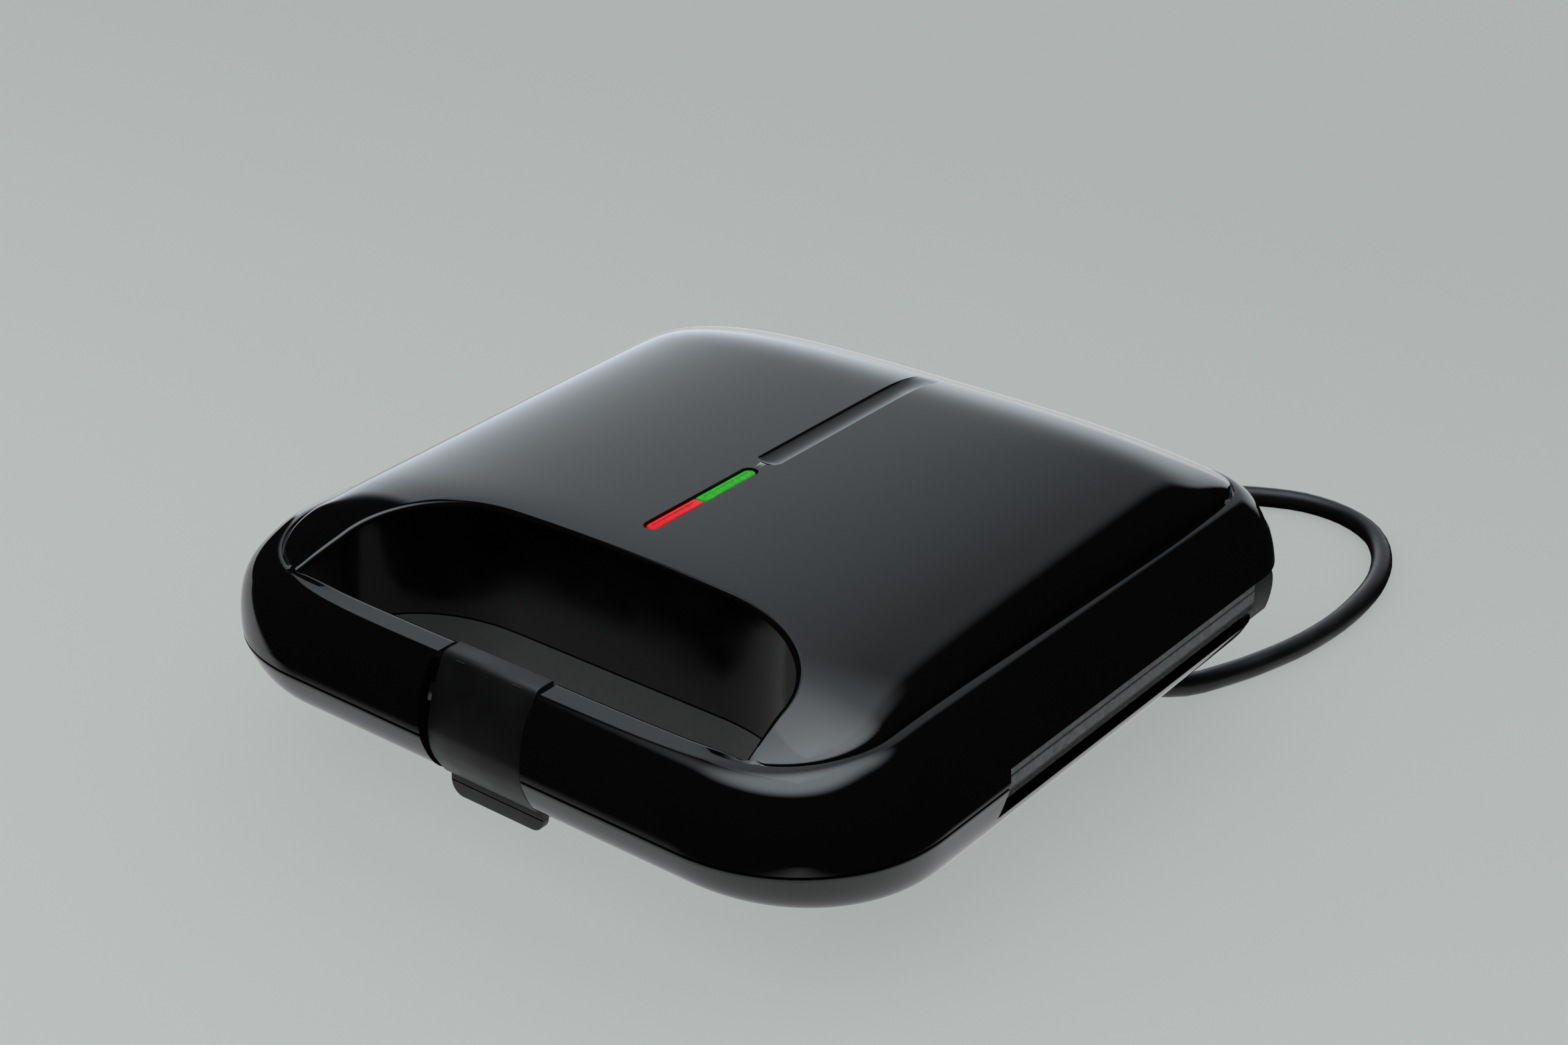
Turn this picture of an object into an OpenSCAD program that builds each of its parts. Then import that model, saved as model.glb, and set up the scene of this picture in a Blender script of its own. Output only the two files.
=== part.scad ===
// Sandwich toaster: a hinged lid over a base, each a glossy shell with an inner casing, a die-cast
// plate, a tubular heater and a reflector. The hand grips through a D-shaped opening behind the
// front bar, and a strap latch on the bar hooks the two halves together.
// Every shape is drawn in a working frame with y = 0 at the front face and z = 0 on the parting
// plane; seat() then puts the origin at the bottom centre of the object, +Z up, front at -Y.

/* [Overall] */
// Width of both housings at the parting plane
body_w = 228; // [224:1:240]
// Depth of the lid from the front face to the rear face
body_d = 237; // [233:1:248]
// Height of the parting plane above the table
base_h = 43; // [42:0.5:48]
// Height of the lid's highest point above the parting plane
lid_h = 42; // [40:0.2:48]
// Wall of the moulded shells
wall = 2.4; // [2:0.1:2.8]
// Gap between the two housings at the parting plane
part_gap = 0.6; // [0.4:0.1:1]

/* [Plan outline] */
// Radius of the front corners in plan
front_r = 47; // [42:1:52]
// Radius of the lid's rear corners in plan
rear_r = 26; // [23:1:30]
// Squareness of the front corners, 2 is a true ellipse
corner_n = 2.1; // [2:0.05:2.4]

/* [Lid form] */
// Distance from the side face in to the styling groove
rim_side = 14.2; // [12:0.2:17]
// Distance from the front face in to the styling groove
rim_front = 12.4; // [11.5:0.1:13.5]
// Distance from the rear face in to the styling groove
rim_rear = 8.5; // [7:0.5:10]
// Height of the groove above the parting plane along the sides
rim_h = 25; // [23:0.5:27]
// How much lower the groove lies at the front
rim_dip = 2.7; // [1:0.1:4]
// Squareness of the rim's profile at the front
rim_n = 2.7; // [2.4:0.1:3.2]
// Squareness of the rim's profile along the sides and the rear
rim_side_n = 1.9; // [1.5:0.1:2.4]
// Depth of the styling groove
groove_depth = 1.1; // [0.6:0.1:1.6]
// Width of the styling groove
groove_w = 2.2; // [1.6:0.1:3]
// Distance from the front at which the lid is highest
crown_y = 188; // [176:1:192]
// Rise of the lid's spine for each millimetre towards the crown
crown_slope = 0.028; // [0.02:0.001:0.034]
// Distance from the front at which the front slope ends
front_slope_end = 62; // [58:1:70]

/* [Hand opening] */
// Distance from the side face in to the hand opening's front corner
opening_side = 37; // [34:1:42]
// Distance from the front face to the opening's front edge, the depth of the handle bar
bar_d = 15; // [14.6:0.1:17]
// Distance from the front face to the opening's rear wall
opening_end = 56.3; // [52:0.5:57]
// Corner of the opening, across
opening_rx = 39; // [30:1:42]
// Corner of the opening, front to back
opening_ry = 27; // [22:1:30]

/* [Base form] */
// Distance that the base's rear face lies behind the hinge axis
base_rear_gap = 1.4; // [0.5:0.1:2]
// Plan radius of the base's rear corners
base_rear_r = 14; // [10:1:18]
// Inward run of the base's rounded side
belly_run = 30; // [26:1:32]
// Height of the base's rounded side
belly_h = 27; // [26:0.5:30]
// Inward run and height of the rounded underside of the front bar
bar_round = 15; // [13:0.2:15.4]
// Height of the rubber feet under the base
foot_h = 6; // [5:0.5:8]
// Front end of the recess along both sides
recess_y = 75; // [72:1:80]
// Height of the lid shell's lower edge along the recess
recess_up = 5.4; // [4.6:0.2:6]
// Depth of the base shell's upper edge along the recess
recess_down = 10.4; // [9:0.2:12]

/* [Hinge] */
// Distance from the front face to the hinge axis
hinge_y = 220.6; // [218:0.2:222]
// Depth of the hinge axis below the parting plane
hinge_drop = 5.8; // [5:0.1:7]
// Radius of the base's hinge ears
ear_r = 9.2; // [8:0.1:9.6]
// Distance from the side face in to each ear's outer face
ear_in = 6; // [5:0.5:8]
// Thickness of each ear
ear_t = 8; // [6:0.5:9]
// Diameter of the hinge pins
hinge_pin_d = 5; // [4:0.1:6]
// Radial clearance of the running fits
run_fit = 0.05; // [0.02:0.01:0.09]
// Thickness of the lid's hinge lugs
lug_t = 9; // [7:0.5:11]

/* [Latch] */
// Width of the latch strap
latch_w = 32.4; // [28:0.2:36]
// Gap on each side of the strap
latch_gap = 1.5; // [1:0.1:2]
// Thickness of the strap
latch_t = 2.4; // [2:0.1:2.8]
// How far the strap's front lies behind the front face
latch_sink = 1.5; // [1.2:0.1:2]
// Height of the strap's top above the parting plane
latch_top = 22; // [21.4:0.1:22.4]
// Depth of the catch's underside below the parting plane
catch_drop = 10.3; // [9.5:0.1:11]
// Clearance between the hook and the catch
hook_gap = 0.9; // [0.8:0.05:1.2]
// Length of the finger tab below the hook
tab_len = 7; // [5:0.5:9]
// Height of the latch pin above the parting plane
latch_pin_h = 13.6; // [12.6:0.1:14.6]
// Diameter of the latch pin
latch_pin_d = 3; // [2.5:0.1:3.5]

/* [Indicator] */
// Distance from the front face to the front end of the indicator slot
slot_y = 69.4; // [67:0.2:72]
// Length of the indicator slot
slot_len = 46.6; // [40:0.2:50]
// Width of the indicator slot
slot_w = 5.4; // [4.6:0.1:7]
// Gap round the two lenses
lens_gap = 0.5; // [0.3:0.1:0.8]
// Length of the shallow trough behind the slot
trough_len = 82; // [60:1:84]
// Width of the trough
trough_w = 8; // [6:0.2:10]
// Depth of the trough
trough_depth = 1.1; // [0.6:0.1:1.4]

/* [Cooking plates] */
// Distance from the side face in to the plates' edge
plate_side = 11; // [10:0.5:16]
// Depth of each plate from front to back
plate_d = 128; // [120:1:130]
// Distance from the front face to the plates' front edge
plate_y = 75; // [74:0.5:78]
// Depth of the sandwich pockets
pocket_depth = 8; // [6:0.5:8]
// Thickness of the casting
cast_t = 2.6; // [2.2:0.1:3]
// Width of the ridges that part the pockets
ridge_w = 6; // [5:0.5:9]
// Diameter of the tubular heaters
heater_d = 6.5; // [6:0.1:7]
// Half the distance between the legs of each heater
heater_leg = 62; // [52:1:72]
// Bend radius of the heaters' corners
heater_bend = 24; // [18:1:30]

/* [Cord] */
// Diameter of the mains cord
cord_d = 7; // [6.4:0.1:7.4]
// Length of the strain relief sleeve outside the base
relief_len = 30; // [24:1:36]
// Diameter of the strain relief at the base
relief_d = 11; // [10.6:0.1:11.4]
// Depth of the cord's outlet below the parting plane
outlet_drop = 28; // [27.8:0.1:28.2]

/* [Hidden] */

half_w = body_w / 2;
opening_half = half_w - opening_side;
ear_x = half_w - ear_in;
plate_w = body_w - 2 * plate_side;
gap = part_gap / 2;
over = 20;                 // how far cutting bodies run past what they cut

// ---------- working frame ----------
module seat() { translate([0, -body_d / 2, base_h]) children(); }

// Extrudes a profile drawn as (y, z) along X, from x0 over length len
module along_x(x0, len) { translate([x0, 0, 0]) rotate([90, 0, 90]) linear_extrude(len) children(); }

// A cylinder along X, centred on x
module rod_x(x, y, z, len, d) {
    translate([x - len / 2, y, z]) rotate([0, 90, 0]) cylinder(h = len, d = d, $fn = 48);
}

module slab(x0, x1, y0, y1, z0, z1) { translate([x0, y0, z0]) cube([x1 - x0, y1 - y0, z1 - z0]); }

// Plate with round corners, its middle at x = 0
module round_slab(w, y0, d, z0, z1, r) {
    translate([0, 0, z0]) linear_extrude(z1 - z0) round_rect(w, y0, d, r);
}

module round_rect(w, y0, d, r) {
    square_w = w - 2 * r;
    translate([-square_w / 2, y0]) square([square_w, d]);
    translate([-w / 2, y0 + r]) square([w, d - 2 * r]);
    for (sx = [-1, 1], y = [y0 + r, y0 + d - r]) translate([sx * square_w / 2, y]) circle(r, $fn = 48);
}

// ---------- plan outlines ----------
corner_steps = 7;          // facets in a quarter corner
side_steps = 6;            // facets along a straight side

function power(v, e) = sign(v) * pow(abs(v), e);
function corner(cx, cy, rx, ry, n, a0, steps) = [
    for (i = [0:steps]) let (a = a0 + 90 * i / steps)
        [cx + rx * power(cos(a), 2 / n), cy + ry * power(sin(a), 2 / n)]
];
function between(a, b, steps) = [for (i = [1:steps - 1]) a + (b - a) * i / steps];

// Closed outline, counter-clockwise from the front right corner; x, y0 and y1 are the half width,
// front and rear, (fx, fy) and (rx, ry) the corners' radii
function outline(x, y0, y1, fx, fy, rx, ry, n) = let (
    fr = corner(x - fx, y0 + fy, fx, fy, n, -90, corner_steps),
    rr = corner(x - rx, y1 - ry, rx, ry, 2, 0, corner_steps),
    rl = corner(-x + rx, y1 - ry, rx, ry, 2, 90, corner_steps),
    fl = corner(-x + fx, y0 + fy, fx, fy, n, 180, corner_steps)
) concat(
    fr, between(fr[corner_steps], rr[0], side_steps),
    rr, between(rr[corner_steps], rl[0], side_steps),
    rl, between(rl[corner_steps], fl[0], side_steps),
    fl, between(fl[corner_steps], fr[0], side_steps)
);
ring_n = len(outline(100, 0, 200, 20, 20, 20, 20, 2));

// Solid skinned over closed rings of points, the first and the last closed by fans
module skin(rings) {
    n = len(rings[0]);
    m = len(rings);
    first = [for (k = [0:2]) [for (p = rings[0]) p[k]] * [for (p = rings[0]) 1] / n];
    last = [for (k = [0:2]) [for (p = rings[m - 1]) p[k]] * [for (p = rings[0]) 1] / n];
    points = concat([for (r = rings) each r], [first, last]);
    faces = concat(
        [for (j = [0:m - 2], i = [0:n - 1]) let (a = j * n + i, b = j * n + (i + 1) % n) [a, a + n, b]],
        [for (j = [0:m - 2], i = [0:n - 1])
            let (a = j * n + i, b = j * n + (i + 1) % n) [b, a + n, b + n]],
        [for (i = [0:n - 1]) [m * n, i, (i + 1) % n]],
        [for (i = [0:n - 1]) let (a = (m - 1) * n) [m * n + 1, a + (i + 1) % n, a + i]]
    );
    polyhedron(points, faces);
}

// ---------- lid form ----------
groove_x = half_w - rim_side;
groove_y0 = rim_front;
groove_y1 = body_d - rim_rear;
groove_fr = front_r - 16.8;
groove_rr = rear_r - 7.5;

// Height of the groove line
function groove_z(y) = rim_h - rim_dip * pow(max(0, (front_slope_end - y)) / (front_slope_end - rim_front), 2);

// Half width inside the groove line at y
function groove_half(y) =
    y < groove_y0 + groove_fr
        ? groove_x - groove_fr + groove_fr * sqrt(max(0, 1 - pow((groove_y0 + groove_fr - y) / groove_fr, 2)))
        : y > groove_y1 - groove_rr
            ? groove_x - groove_rr + groove_rr * sqrt(max(0, 1 - pow((y - groove_y1 + groove_rr) / groove_rr, 2)))
            : groove_x;

front_n = 1.5;             // roundness of the front slope
rear_n = 1.6;              // roundness of the rear shoulder in the middle
rear_soft = 0.6;           // how much softer that shoulder is at the corners
side_n0 = 2.1;             // roundness of the side shoulder at the opening
side_n_rate = 0.015;       // how fast that shoulder tightens towards the rear

// Height of the lid's spine, and of its panel at (x, y)
function spine(y) = lid_h - crown_slope * max(0, crown_y - y);
function front_fall(y) = pow(1 - pow(min(1, max(0, (front_slope_end - y) / (front_slope_end - groove_y0))), front_n), 1 / front_n);
function rear_fall(x, y) = let (n = rear_n - rear_soft * pow(min(1, abs(x) / groove_x), 3))
    pow(1 - pow(min(1, max(0, (y - crown_y) / (groove_y1 - crown_y))), n), 1 / n);
function side_fall(x, y) = let (n = side_n0 + side_n_rate * (y - opening_end), v = min(1, abs(x) / max(1, groove_half(y))))
    pow(1 - pow(v, n), 1 / n);
function panel_z(x, y) = groove_z(y) + (spine(y) - groove_z(y)) * front_fall(y) * rear_fall(x, y)
    * side_fall(x, y);

// Ring of the rim, share u of its run in from the outline, drawn in by inset
function rim_rise(u, y) = let (
    w = min(1, max(0, (y - 6) / 26)), n = rim_n + (rim_side_n - rim_n) * w * w * (3 - 2 * w)
) pow(1 - pow(1 - u, n), 1 / n);
function rim_ring(u, inset) = let (
    x = half_w - rim_side * u - inset, y0 = rim_front * u + inset, y1 = body_d - rim_rear * u - inset,
    f = front_r + (groove_fr - front_r) * u, r = rear_r + (groove_rr - rear_r) * u
) [for (p = outline(x, y0, y1, f - inset, f - inset, r - inset, r - inset, corner_n))
    [p[0], p[1], max(gap, groove_z(p[1]) * rim_rise(u, p[1]) - inset)]];

// Ring of the panel, share t of the way from the groove to the crown
function panel_ring(t, drop) = let (
    x = groove_x * (1 - 0.95 * t), y0 = groove_y0 + (front_slope_end + 40 - groove_y0) * t,
    y1 = groove_y1 + (crown_y - 40 - groove_y1) * t, f = groove_fr * (1 - 0.9 * t), r = groove_rr * (1 - 0.8 * t)
) [for (p = outline(x, y0, y1, f, f, r, r, 2)) [p[0], p[1], panel_z(p[0], p[1]) - drop]];

// The groove's floor, half its width inside the groove line; it ends beside the hand opening's tips
function groove_ring(shift, depth) = [
    for (p = outline(groove_x - shift, groove_y0 + shift, groove_y1 - shift, groove_fr - shift,
        groove_fr - shift, groove_rr - shift, groove_rr - shift, 2))
        let (past = p[1] > groove_y0 + groove_fr ? 1 : min(1, max(0, (abs(p[0]) - opening_half - 2) / 3)))
            [p[0], p[1], groove_z(p[1]) - depth * past]
];

rim_runs = [0.004, 0.03, 0.09, 0.2, 0.37, 0.6, 0.82, 1];
panel_steps = [0.015, 0.05, 0.11, 0.2, 0.32, 0.48, 0.68, 0.9];

module lid_solid() {
    skin(concat(
        [[for (p = rim_ring(0, 0)) [p[0], p[1], gap]]],
        [for (u = rim_runs) rim_ring(u, 0)],
        [groove_ring(groove_w / 2, groove_depth)],
        [for (t = panel_steps) panel_ring(t, 0)]
    ));
}

module lid_void() {
    skin(concat(
        [[for (p = rim_ring(0, wall)) [p[0], p[1], gap - over]]],
        [[for (p = rim_ring(0, wall)) [p[0], p[1], gap]]],
        [for (u = [0.03, 0.2, 0.5, 0.9]) rim_ring(u, wall)],
        [for (t = [0.11, 0.2, 0.4, 0.68, 0.9]) panel_ring(t, wall + 0.6)]
    ));
}

// ---------- hand opening ----------
// D-shaped outline, grown outwards by g
function opening_points(g) = let (
    cx = opening_half - 2 - opening_rx, cy = opening_end - opening_ry,
    right = corner(cx, cy, opening_rx + g, opening_ry + g, 2.1, 0, 14),
    left = corner(-cx, cy, opening_rx + g, opening_ry + g, 2.1, 90, 14)
) concat([[-opening_half - g, bar_d - g], [opening_half + g, bar_d - g]], right, left);

module opening_prism(g, z0, z1) { translate([0, 0, z0]) linear_extrude(z1 - z0) polygon(opening_points(g)); }

// ---------- base form ----------
base_end = hinge_y + base_rear_gap;
tub_run = 3;               // inward lean of the tub's wall under the belly
tub_floor = base_h - foot_h;
tub_front = opening_end + 5;
tub_half = half_w - belly_run - tub_run;
tub_r = 12;                // plan radius of the tub's front corners
corner_keep = 0.6;         // share of the bar's run that its corner radius gives up
rear_lean = 0.2;           // share of the belly's run by which the rear wall leans in

// Ring of the base at depth z under the parting plane: belly above, tub below; the front steps back
// behind the hand opening once it is below the bar
function belly_in(z) = z < belly_h
    ? belly_run * (1 - sqrt(max(0, 1 - pow(z / belly_h, 2))))
    : belly_run + tub_run * (z - belly_h) / (tub_floor - belly_h);
function bar_in(z) = z <= bar_round
    ? bar_round * (1 - sqrt(max(0, 1 - pow(z / bar_round, 2))))
    : min(tub_front, bar_round + (tub_front - bar_round) * (z - bar_round) / 5);
function base_ring(z, inset) = let (
    s = belly_in(z) + inset, f = bar_in(z) + inset,
    back = min(1, max(0, (z - bar_round) / 5)), bar_r = front_r - corner_keep * bar_round - inset,
    fr = z < bar_round ? front_r - corner_keep * bar_in(z) - inset : bar_r + (tub_r - bar_r) * back,
    rr = max(6, base_rear_r - inset)
) [for (p = outline(half_w - s, f, base_end - rear_lean * (s - inset) - inset, fr, fr, rr, rr, corner_n))
    [p[0], p[1], -z]];

base_depths = [4, 8, 11.5, 14, 15, 17.5, 20, 23, 25.5, 27.4, 28.5];

module base_solid() {
    skin(concat(
        [base_ring(tub_floor, 0)],
        [for (i = [len(base_depths) - 1:-1:0]) base_ring(base_depths[i], 0)],
        [[for (p = base_ring(0, 0)) [p[0], p[1], -gap]]]
    ));
}

module base_void() {
    skin(concat(
        [for (z = [tub_floor, 27, 23, 19, 15.5, 13, 8]) [for (p = base_ring(z, wall)) [p[0], p[1], wall - z]]],
        [[for (p = base_ring(0, wall)) [p[0], p[1], -gap + over]]]
    ));
}

// ---------- hinge ----------
lug_x = ear_x - ear_t - lug_t - 0.6;        // inner face of the lid's lug
lug_r = ear_r - 1.2;
pin_end = 2;               // solid left behind each pin in its ear

// Teardrop of the ear, its root run down into the base
module ear_profile() {
    translate([hinge_y, -hinge_drop]) circle(ear_r, $fn = 64);
    polygon([
        [hinge_y, -hinge_drop - ear_r], [hinge_y + ear_r * 0.8, -hinge_drop - ear_r * 0.6],
        [hinge_y, -hinge_drop], [hinge_y - ear_r, -hinge_drop],
        [hinge_y - ear_r, -20], [hinge_y - 2, -20]
    ]);
}

// ---------- latch ----------
notch_half = latch_w / 2 + latch_gap;
cheek_t = 2.6;             // walls at the ends of the notch that hold the latch pin
latch_pin_y = 10.6;
catch_front = latch_sink + 6.7;
latch_foot = -catch_drop - hook_gap;
knuckle_d = latch_pin_d + 3.4;
hook_y = catch_front + 3.6;      // how far back the hook's tip reaches over the catch

// Outer face of the strap from the top down, as (y, z)
strap_face = [
    [8.2, latch_top], [6.9, 18.6], [5.5, 15.6], [3.8, 11.4], [2.5, 7.2], [latch_sink + 0.2, 3.6],
    [latch_sink, 1.2], [latch_sink + 0.4, -2.7], [latch_sink + 1.2, -5.4], [latch_sink + 2.3, -7.8],
    [latch_sink + 4.2, -10.8], [latch_sink + 5.8, latch_foot - 1.8], [latch_sink + 7.3, latch_foot - 2.6]
];
strap_back = [
    [8.2 + latch_t * 0.4, latch_top - latch_t], [5.5 + latch_t, 14.8], [3.8 + latch_t, 10.4],
    [2.5 + latch_t, 6.6], [latch_sink + latch_t + 0.3, 3.3], [latch_sink + latch_t, 1],
    [latch_sink + latch_t + 0.5, -2.2], [latch_sink + latch_t + 1.2, -4.8],
    [latch_sink + latch_t + 2.2, -7.4], [catch_front - 0.9, latch_foot]
];
function reversed(list) = [for (i = [len(list) - 1:-1:0]) list[i]];

module latch() seat() color("#2a2b2c") {
    difference() {
        union() {
            along_x(-latch_w / 2, latch_w) polygon(concat(
                [[bar_d, latch_top]], strap_face,
                [[hook_y, latch_foot - 2.6], [hook_y, latch_foot]],
                reversed(strap_back), [[bar_d, latch_top - latch_t]]
            ));
            rod_x(0, latch_pin_y, latch_pin_h, latch_w, knuckle_d);
            for (x = [-latch_w * 0.3, latch_w * 0.3]) along_x(x - 1.5, 3) polygon([
                [6, 12], [latch_pin_y, latch_pin_h - 1], [latch_pin_y + 1, latch_pin_h + 1],
                [12, latch_top - 1], [8, latch_top - 1]
            ]);
            finger_tab();
        }
        rod_x(0, latch_pin_y, latch_pin_h, latch_w + 2, latch_pin_d + 2 * run_fit);
    }
}

// Finger tab under the hook, its lower corners rounded
module finger_tab() {
    r = 4;
    top = latch_foot - 1.6;
    low = latch_foot - 2.6 - tab_len;
    translate([0, hook_y - 0.2, 0]) rotate([90, 0, 0]) linear_extrude(2.2) {
        translate([-latch_w / 2, low + r]) square([latch_w, top - low - r]);
        translate([-latch_w / 2 + r, low]) square([latch_w - 2 * r, r + 1]);
        for (sx = [-1, 1]) translate([sx * (latch_w / 2 - r), low + r]) circle(r, $fn = 48);
    }
}

module latch_pin() seat() color("#b9bcc0") {
    rod_x(0, latch_pin_y, latch_pin_h, 2 * (notch_half + cheek_t), latch_pin_d);
}

// ---------- casings, plates, heaters: drawn for the lid, mirrored for the base ----------
casing_half = half_w - 3;
casing_y0 = opening_end + wall + 2;
casing_y1 = hinge_y - 9.6;
casing_t = 4.2;
band_t = 2;
ledge = 3.6;               // how far the plate's flange rests on the casing
plate_gap = 0.3;           // gap round the plate
flange_t = 2.4;
face_z = gap + 0.2;        // height of the cooking faces from the parting plane
ledge_z = face_z + flange_t;
skirt_h = 9;
boss_d = 7;
screw_d = 3;
screw_fit = 0.05;

module casing(band_h) {
    difference() {
        union() {
            translate([0, 0, gap]) linear_extrude(casing_t) casing_outline(0);
            difference() {
                translate([0, 0, gap]) linear_extrude(band_h) casing_outline(0);
                translate([0, 0, gap - 1]) linear_extrude(band_h + 2) casing_outline(band_t);
            }
            round_slab(plate_w - 2 * ledge + 4, plate_y + ledge - 2, plate_d - 2 * ledge + 4, gap,
                gap + casing_t + skirt_h, 10);
        }
        round_slab(plate_w + 2 * plate_gap, plate_y - plate_gap, plate_d + 2 * plate_gap, -1, ledge_z, 8);
        round_slab(plate_w - 2 * ledge, plate_y + ledge, plate_d - 2 * ledge, -1, 60, 8);
    }
}

// Plan of the casing: full width along the recess, narrower inside the shells in front of it
module casing_outline(inset) {
    translate([-casing_half + inset, recess_y + 0.5 + inset])
        square([2 * (casing_half - inset), casing_y1 - recess_y - 0.5 - 2 * inset]);
    translate([-casing_half + 4 + inset, casing_y0 + inset])
        square([2 * (casing_half - 4 - inset), casing_y1 - casing_y0 - 2 * inset]);
}

body_inset = 6;            // from the plate's edge to the cast body under it
body_z = face_z + pocket_depth + cast_t;
plate_mid = plate_y + plate_d / 2;
heater_z = body_z + heater_d / 2 - 1.5;
heater_y0 = plate_y + 20;
heater_y1 = plate_y + plate_d - 18;
reflector_z = heater_z + heater_d / 2 + 1;
tip_y = heater_y1 + 7;     // where the wires meet the heaters' ends
sensor_xy = [24, plate_mid + 1];
sheet = 0.6;
stud_xy = [[0, plate_y + 26], [0, plate_y + plate_d - 20]];

// Rounded triangle through three corners, shrunk by k towards its middle, at height z
function tri_ring(t, k, z) = let (c = (t[0] + t[1] + t[2]) / 3, e = 0.09) [
    for (i = [0:2]) let (
        v = c + (t[i] - c) * k, a = c + (t[(i + 2) % 3] - c) * k, b = c + (t[(i + 1) % 3] - c) * k
    ) each [concat(v + (a - v) * e, z), concat(v + (a - v + b - v) * e * 0.3, z), concat(v + (b - v) * e, z)]
];

// The pockets of one well: the well runs from x0 to x1, its ridge along the rising diagonal
module well_pockets(x0, x1) {
    y0 = plate_y + 9;
    y1 = plate_y + plate_d - 9;
    r = ridge_w * 0.75;
    for (t = [
        [[x0 + 2 * r, y0], [x1, y0], [x1, y1 - 2 * r]],
        [[x0, y0 + 2 * r], [x1 - 2 * r, y1], [x0, y1]]
    ]) skin([tri_ring(t, 1.01, face_z - 1), tri_ring(t, 1, face_z), tri_ring(t, 0.93, face_z + pocket_depth * 0.7),
        tri_ring(t, 0.84, face_z + pocket_depth)]);
}

module cooking_plate() {
    difference() {
        union() {
            round_slab(plate_w, plate_y, plate_d, face_z, ledge_z, 8);
            round_slab(plate_w - 2 * body_inset, plate_y + body_inset, plate_d - 2 * body_inset, face_z,
                body_z, 8);
            for (p = stud_xy) translate([p[0], p[1], body_z - 1]) cylinder(h = reflector_z - body_z + 1, d = 8, $fn = 48);
        }
        well_pockets(ridge_w / 2, plate_w / 2 - 9);
        mirror([1, 0, 0]) well_pockets(ridge_w / 2, plate_w / 2 - 9);
        heater(heater_d + 0.1, plate_y + plate_d);
        for (p = stud_xy) translate([p[0], p[1], body_z - 1]) cylinder(h = 20, d = screw_d + 2 * screw_fit, $fn = 32);
    }
}

// U-shaped tubular heater with its open end at the rear
module heater(d, y1) {
    x = heater_leg;
    r = heater_bend;
    for (sx = [-1, 1]) {
        translate([sx * x, heater_y0 + r, heater_z]) rotate([-90, 0, 0])
            cylinder(h = y1 - heater_y0 - r, d = d, $fn = 40);
        translate([sx * (x - r), heater_y0 + r, heater_z]) rotate([0, 0, sx > 0 ? -90 : 180])
            rotate_extrude(angle = 90, $fn = 60) translate([r, 0]) circle(d = d, $fn = 40);
    }
    rod_x(0, heater_y0, heater_z, 2 * (x - r), d);
}

module heater_with_ends() {
    heater(heater_d, heater_y1);
    for (sx = [-1, 1]) {
        translate([sx * heater_leg, heater_y1, heater_z]) rotate([-90, 0, 0]) cylinder(h = 4, d = heater_d - 1, $fn = 32);
        translate([sx * heater_leg, heater_y1 + 4, heater_z]) rotate([-90, 0, 0]) cylinder(h = 5, d = 2, $fn = 24);
    }
}

// Sheet-metal tray behind the heater
module reflector() {
    w = plate_w - 2 * body_inset - 2;
    d = plate_d - 2 * body_inset - 2;
    y0 = plate_y + body_inset + 1;
    z0 = body_z + 0.6;
    difference() {
        round_slab(w, y0, d, z0, reflector_z + sheet, 8);
        round_slab(w - 2 * sheet, y0 + sheet, d - 2 * sheet, z0 - 1, reflector_z, 8 - sheet);
        for (p = stud_xy) translate([p[0], p[1], 0]) cylinder(h = 60, d = screw_d + 0.4, $fn = 32);
        for (x = [-heater_leg, heater_leg]) translate([x, tip_y, 0]) cylinder(h = 60, d = 5, $fn = 32);
        translate([sensor_xy[0], sensor_xy[1], 0]) cylinder(h = 60, d = 20, $fn = 48);
    }
}

module plate_screws() {
    for (p = stud_xy) translate([p[0], p[1], 0]) {
        translate([0, 0, body_z]) cylinder(h = reflector_z + sheet - body_z, d = screw_d, $fn = 32);
        translate([0, 0, reflector_z + sheet]) cylinder(h = 1.8, d = 5.6, $fn = 32);
    }
}

// ---------- shells ----------
screw_in = 4.2;            // from the casing's rear edge in to the rear screws
lid_screw_xy = [for (x = [-casing_half + 23, casing_half - 23], y = [casing_y0 + 1.5 * screw_in, casing_y1 - screw_in]) [x, y]];
base_screw_xy = [for (x = [-tub_half + 11, tub_half - 11], y = [casing_y0 + 1.65 * screw_in, casing_y1 - screw_in]) [x, y]];
foot_xy = [for (x = [-tub_half + 19, tub_half - 19], y = [tub_front + 18.7, base_end - 26]) [x, y]];
foot_d = 15;
foot_seat = 1.2;
outlet_xy = [tub_half - 23, base_end - 74];     // where the cord's axis leaves the bulkhead
outlet_turn = 30;          // its heading, clockwise from +Y
outlet_z = -outlet_drop;
bay_half = 8;
bay_h = 6.6;               // height of the bay's ceiling over the cord's axis

// Places its children at the cord outlet with +Y along the cord
module at_outlet() { translate([outlet_xy[0], outlet_xy[1], outlet_z]) rotate([0, 0, -outlet_turn]) children(); }

module recess_cut(z0, z1, y1) {
    for (x = [-half_w - over, half_w - 12]) slab(x, x + 12 + over, recess_y, y1, z0, z1);
}

module slot_outline(grow) {
    r = slot_w / 2 + grow;
    translate([-r, slot_y + slot_w / 2]) square([2 * r, slot_len - slot_w]);
    for (y = [slot_y + slot_w / 2, slot_y + slot_len - slot_w / 2]) translate([0, y]) circle(r, $fn = 48);
}

collar_h = 5;              // depth of the collar round the indicator slot
slot_z = panel_z(0, slot_y + slot_len / 2);

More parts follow.
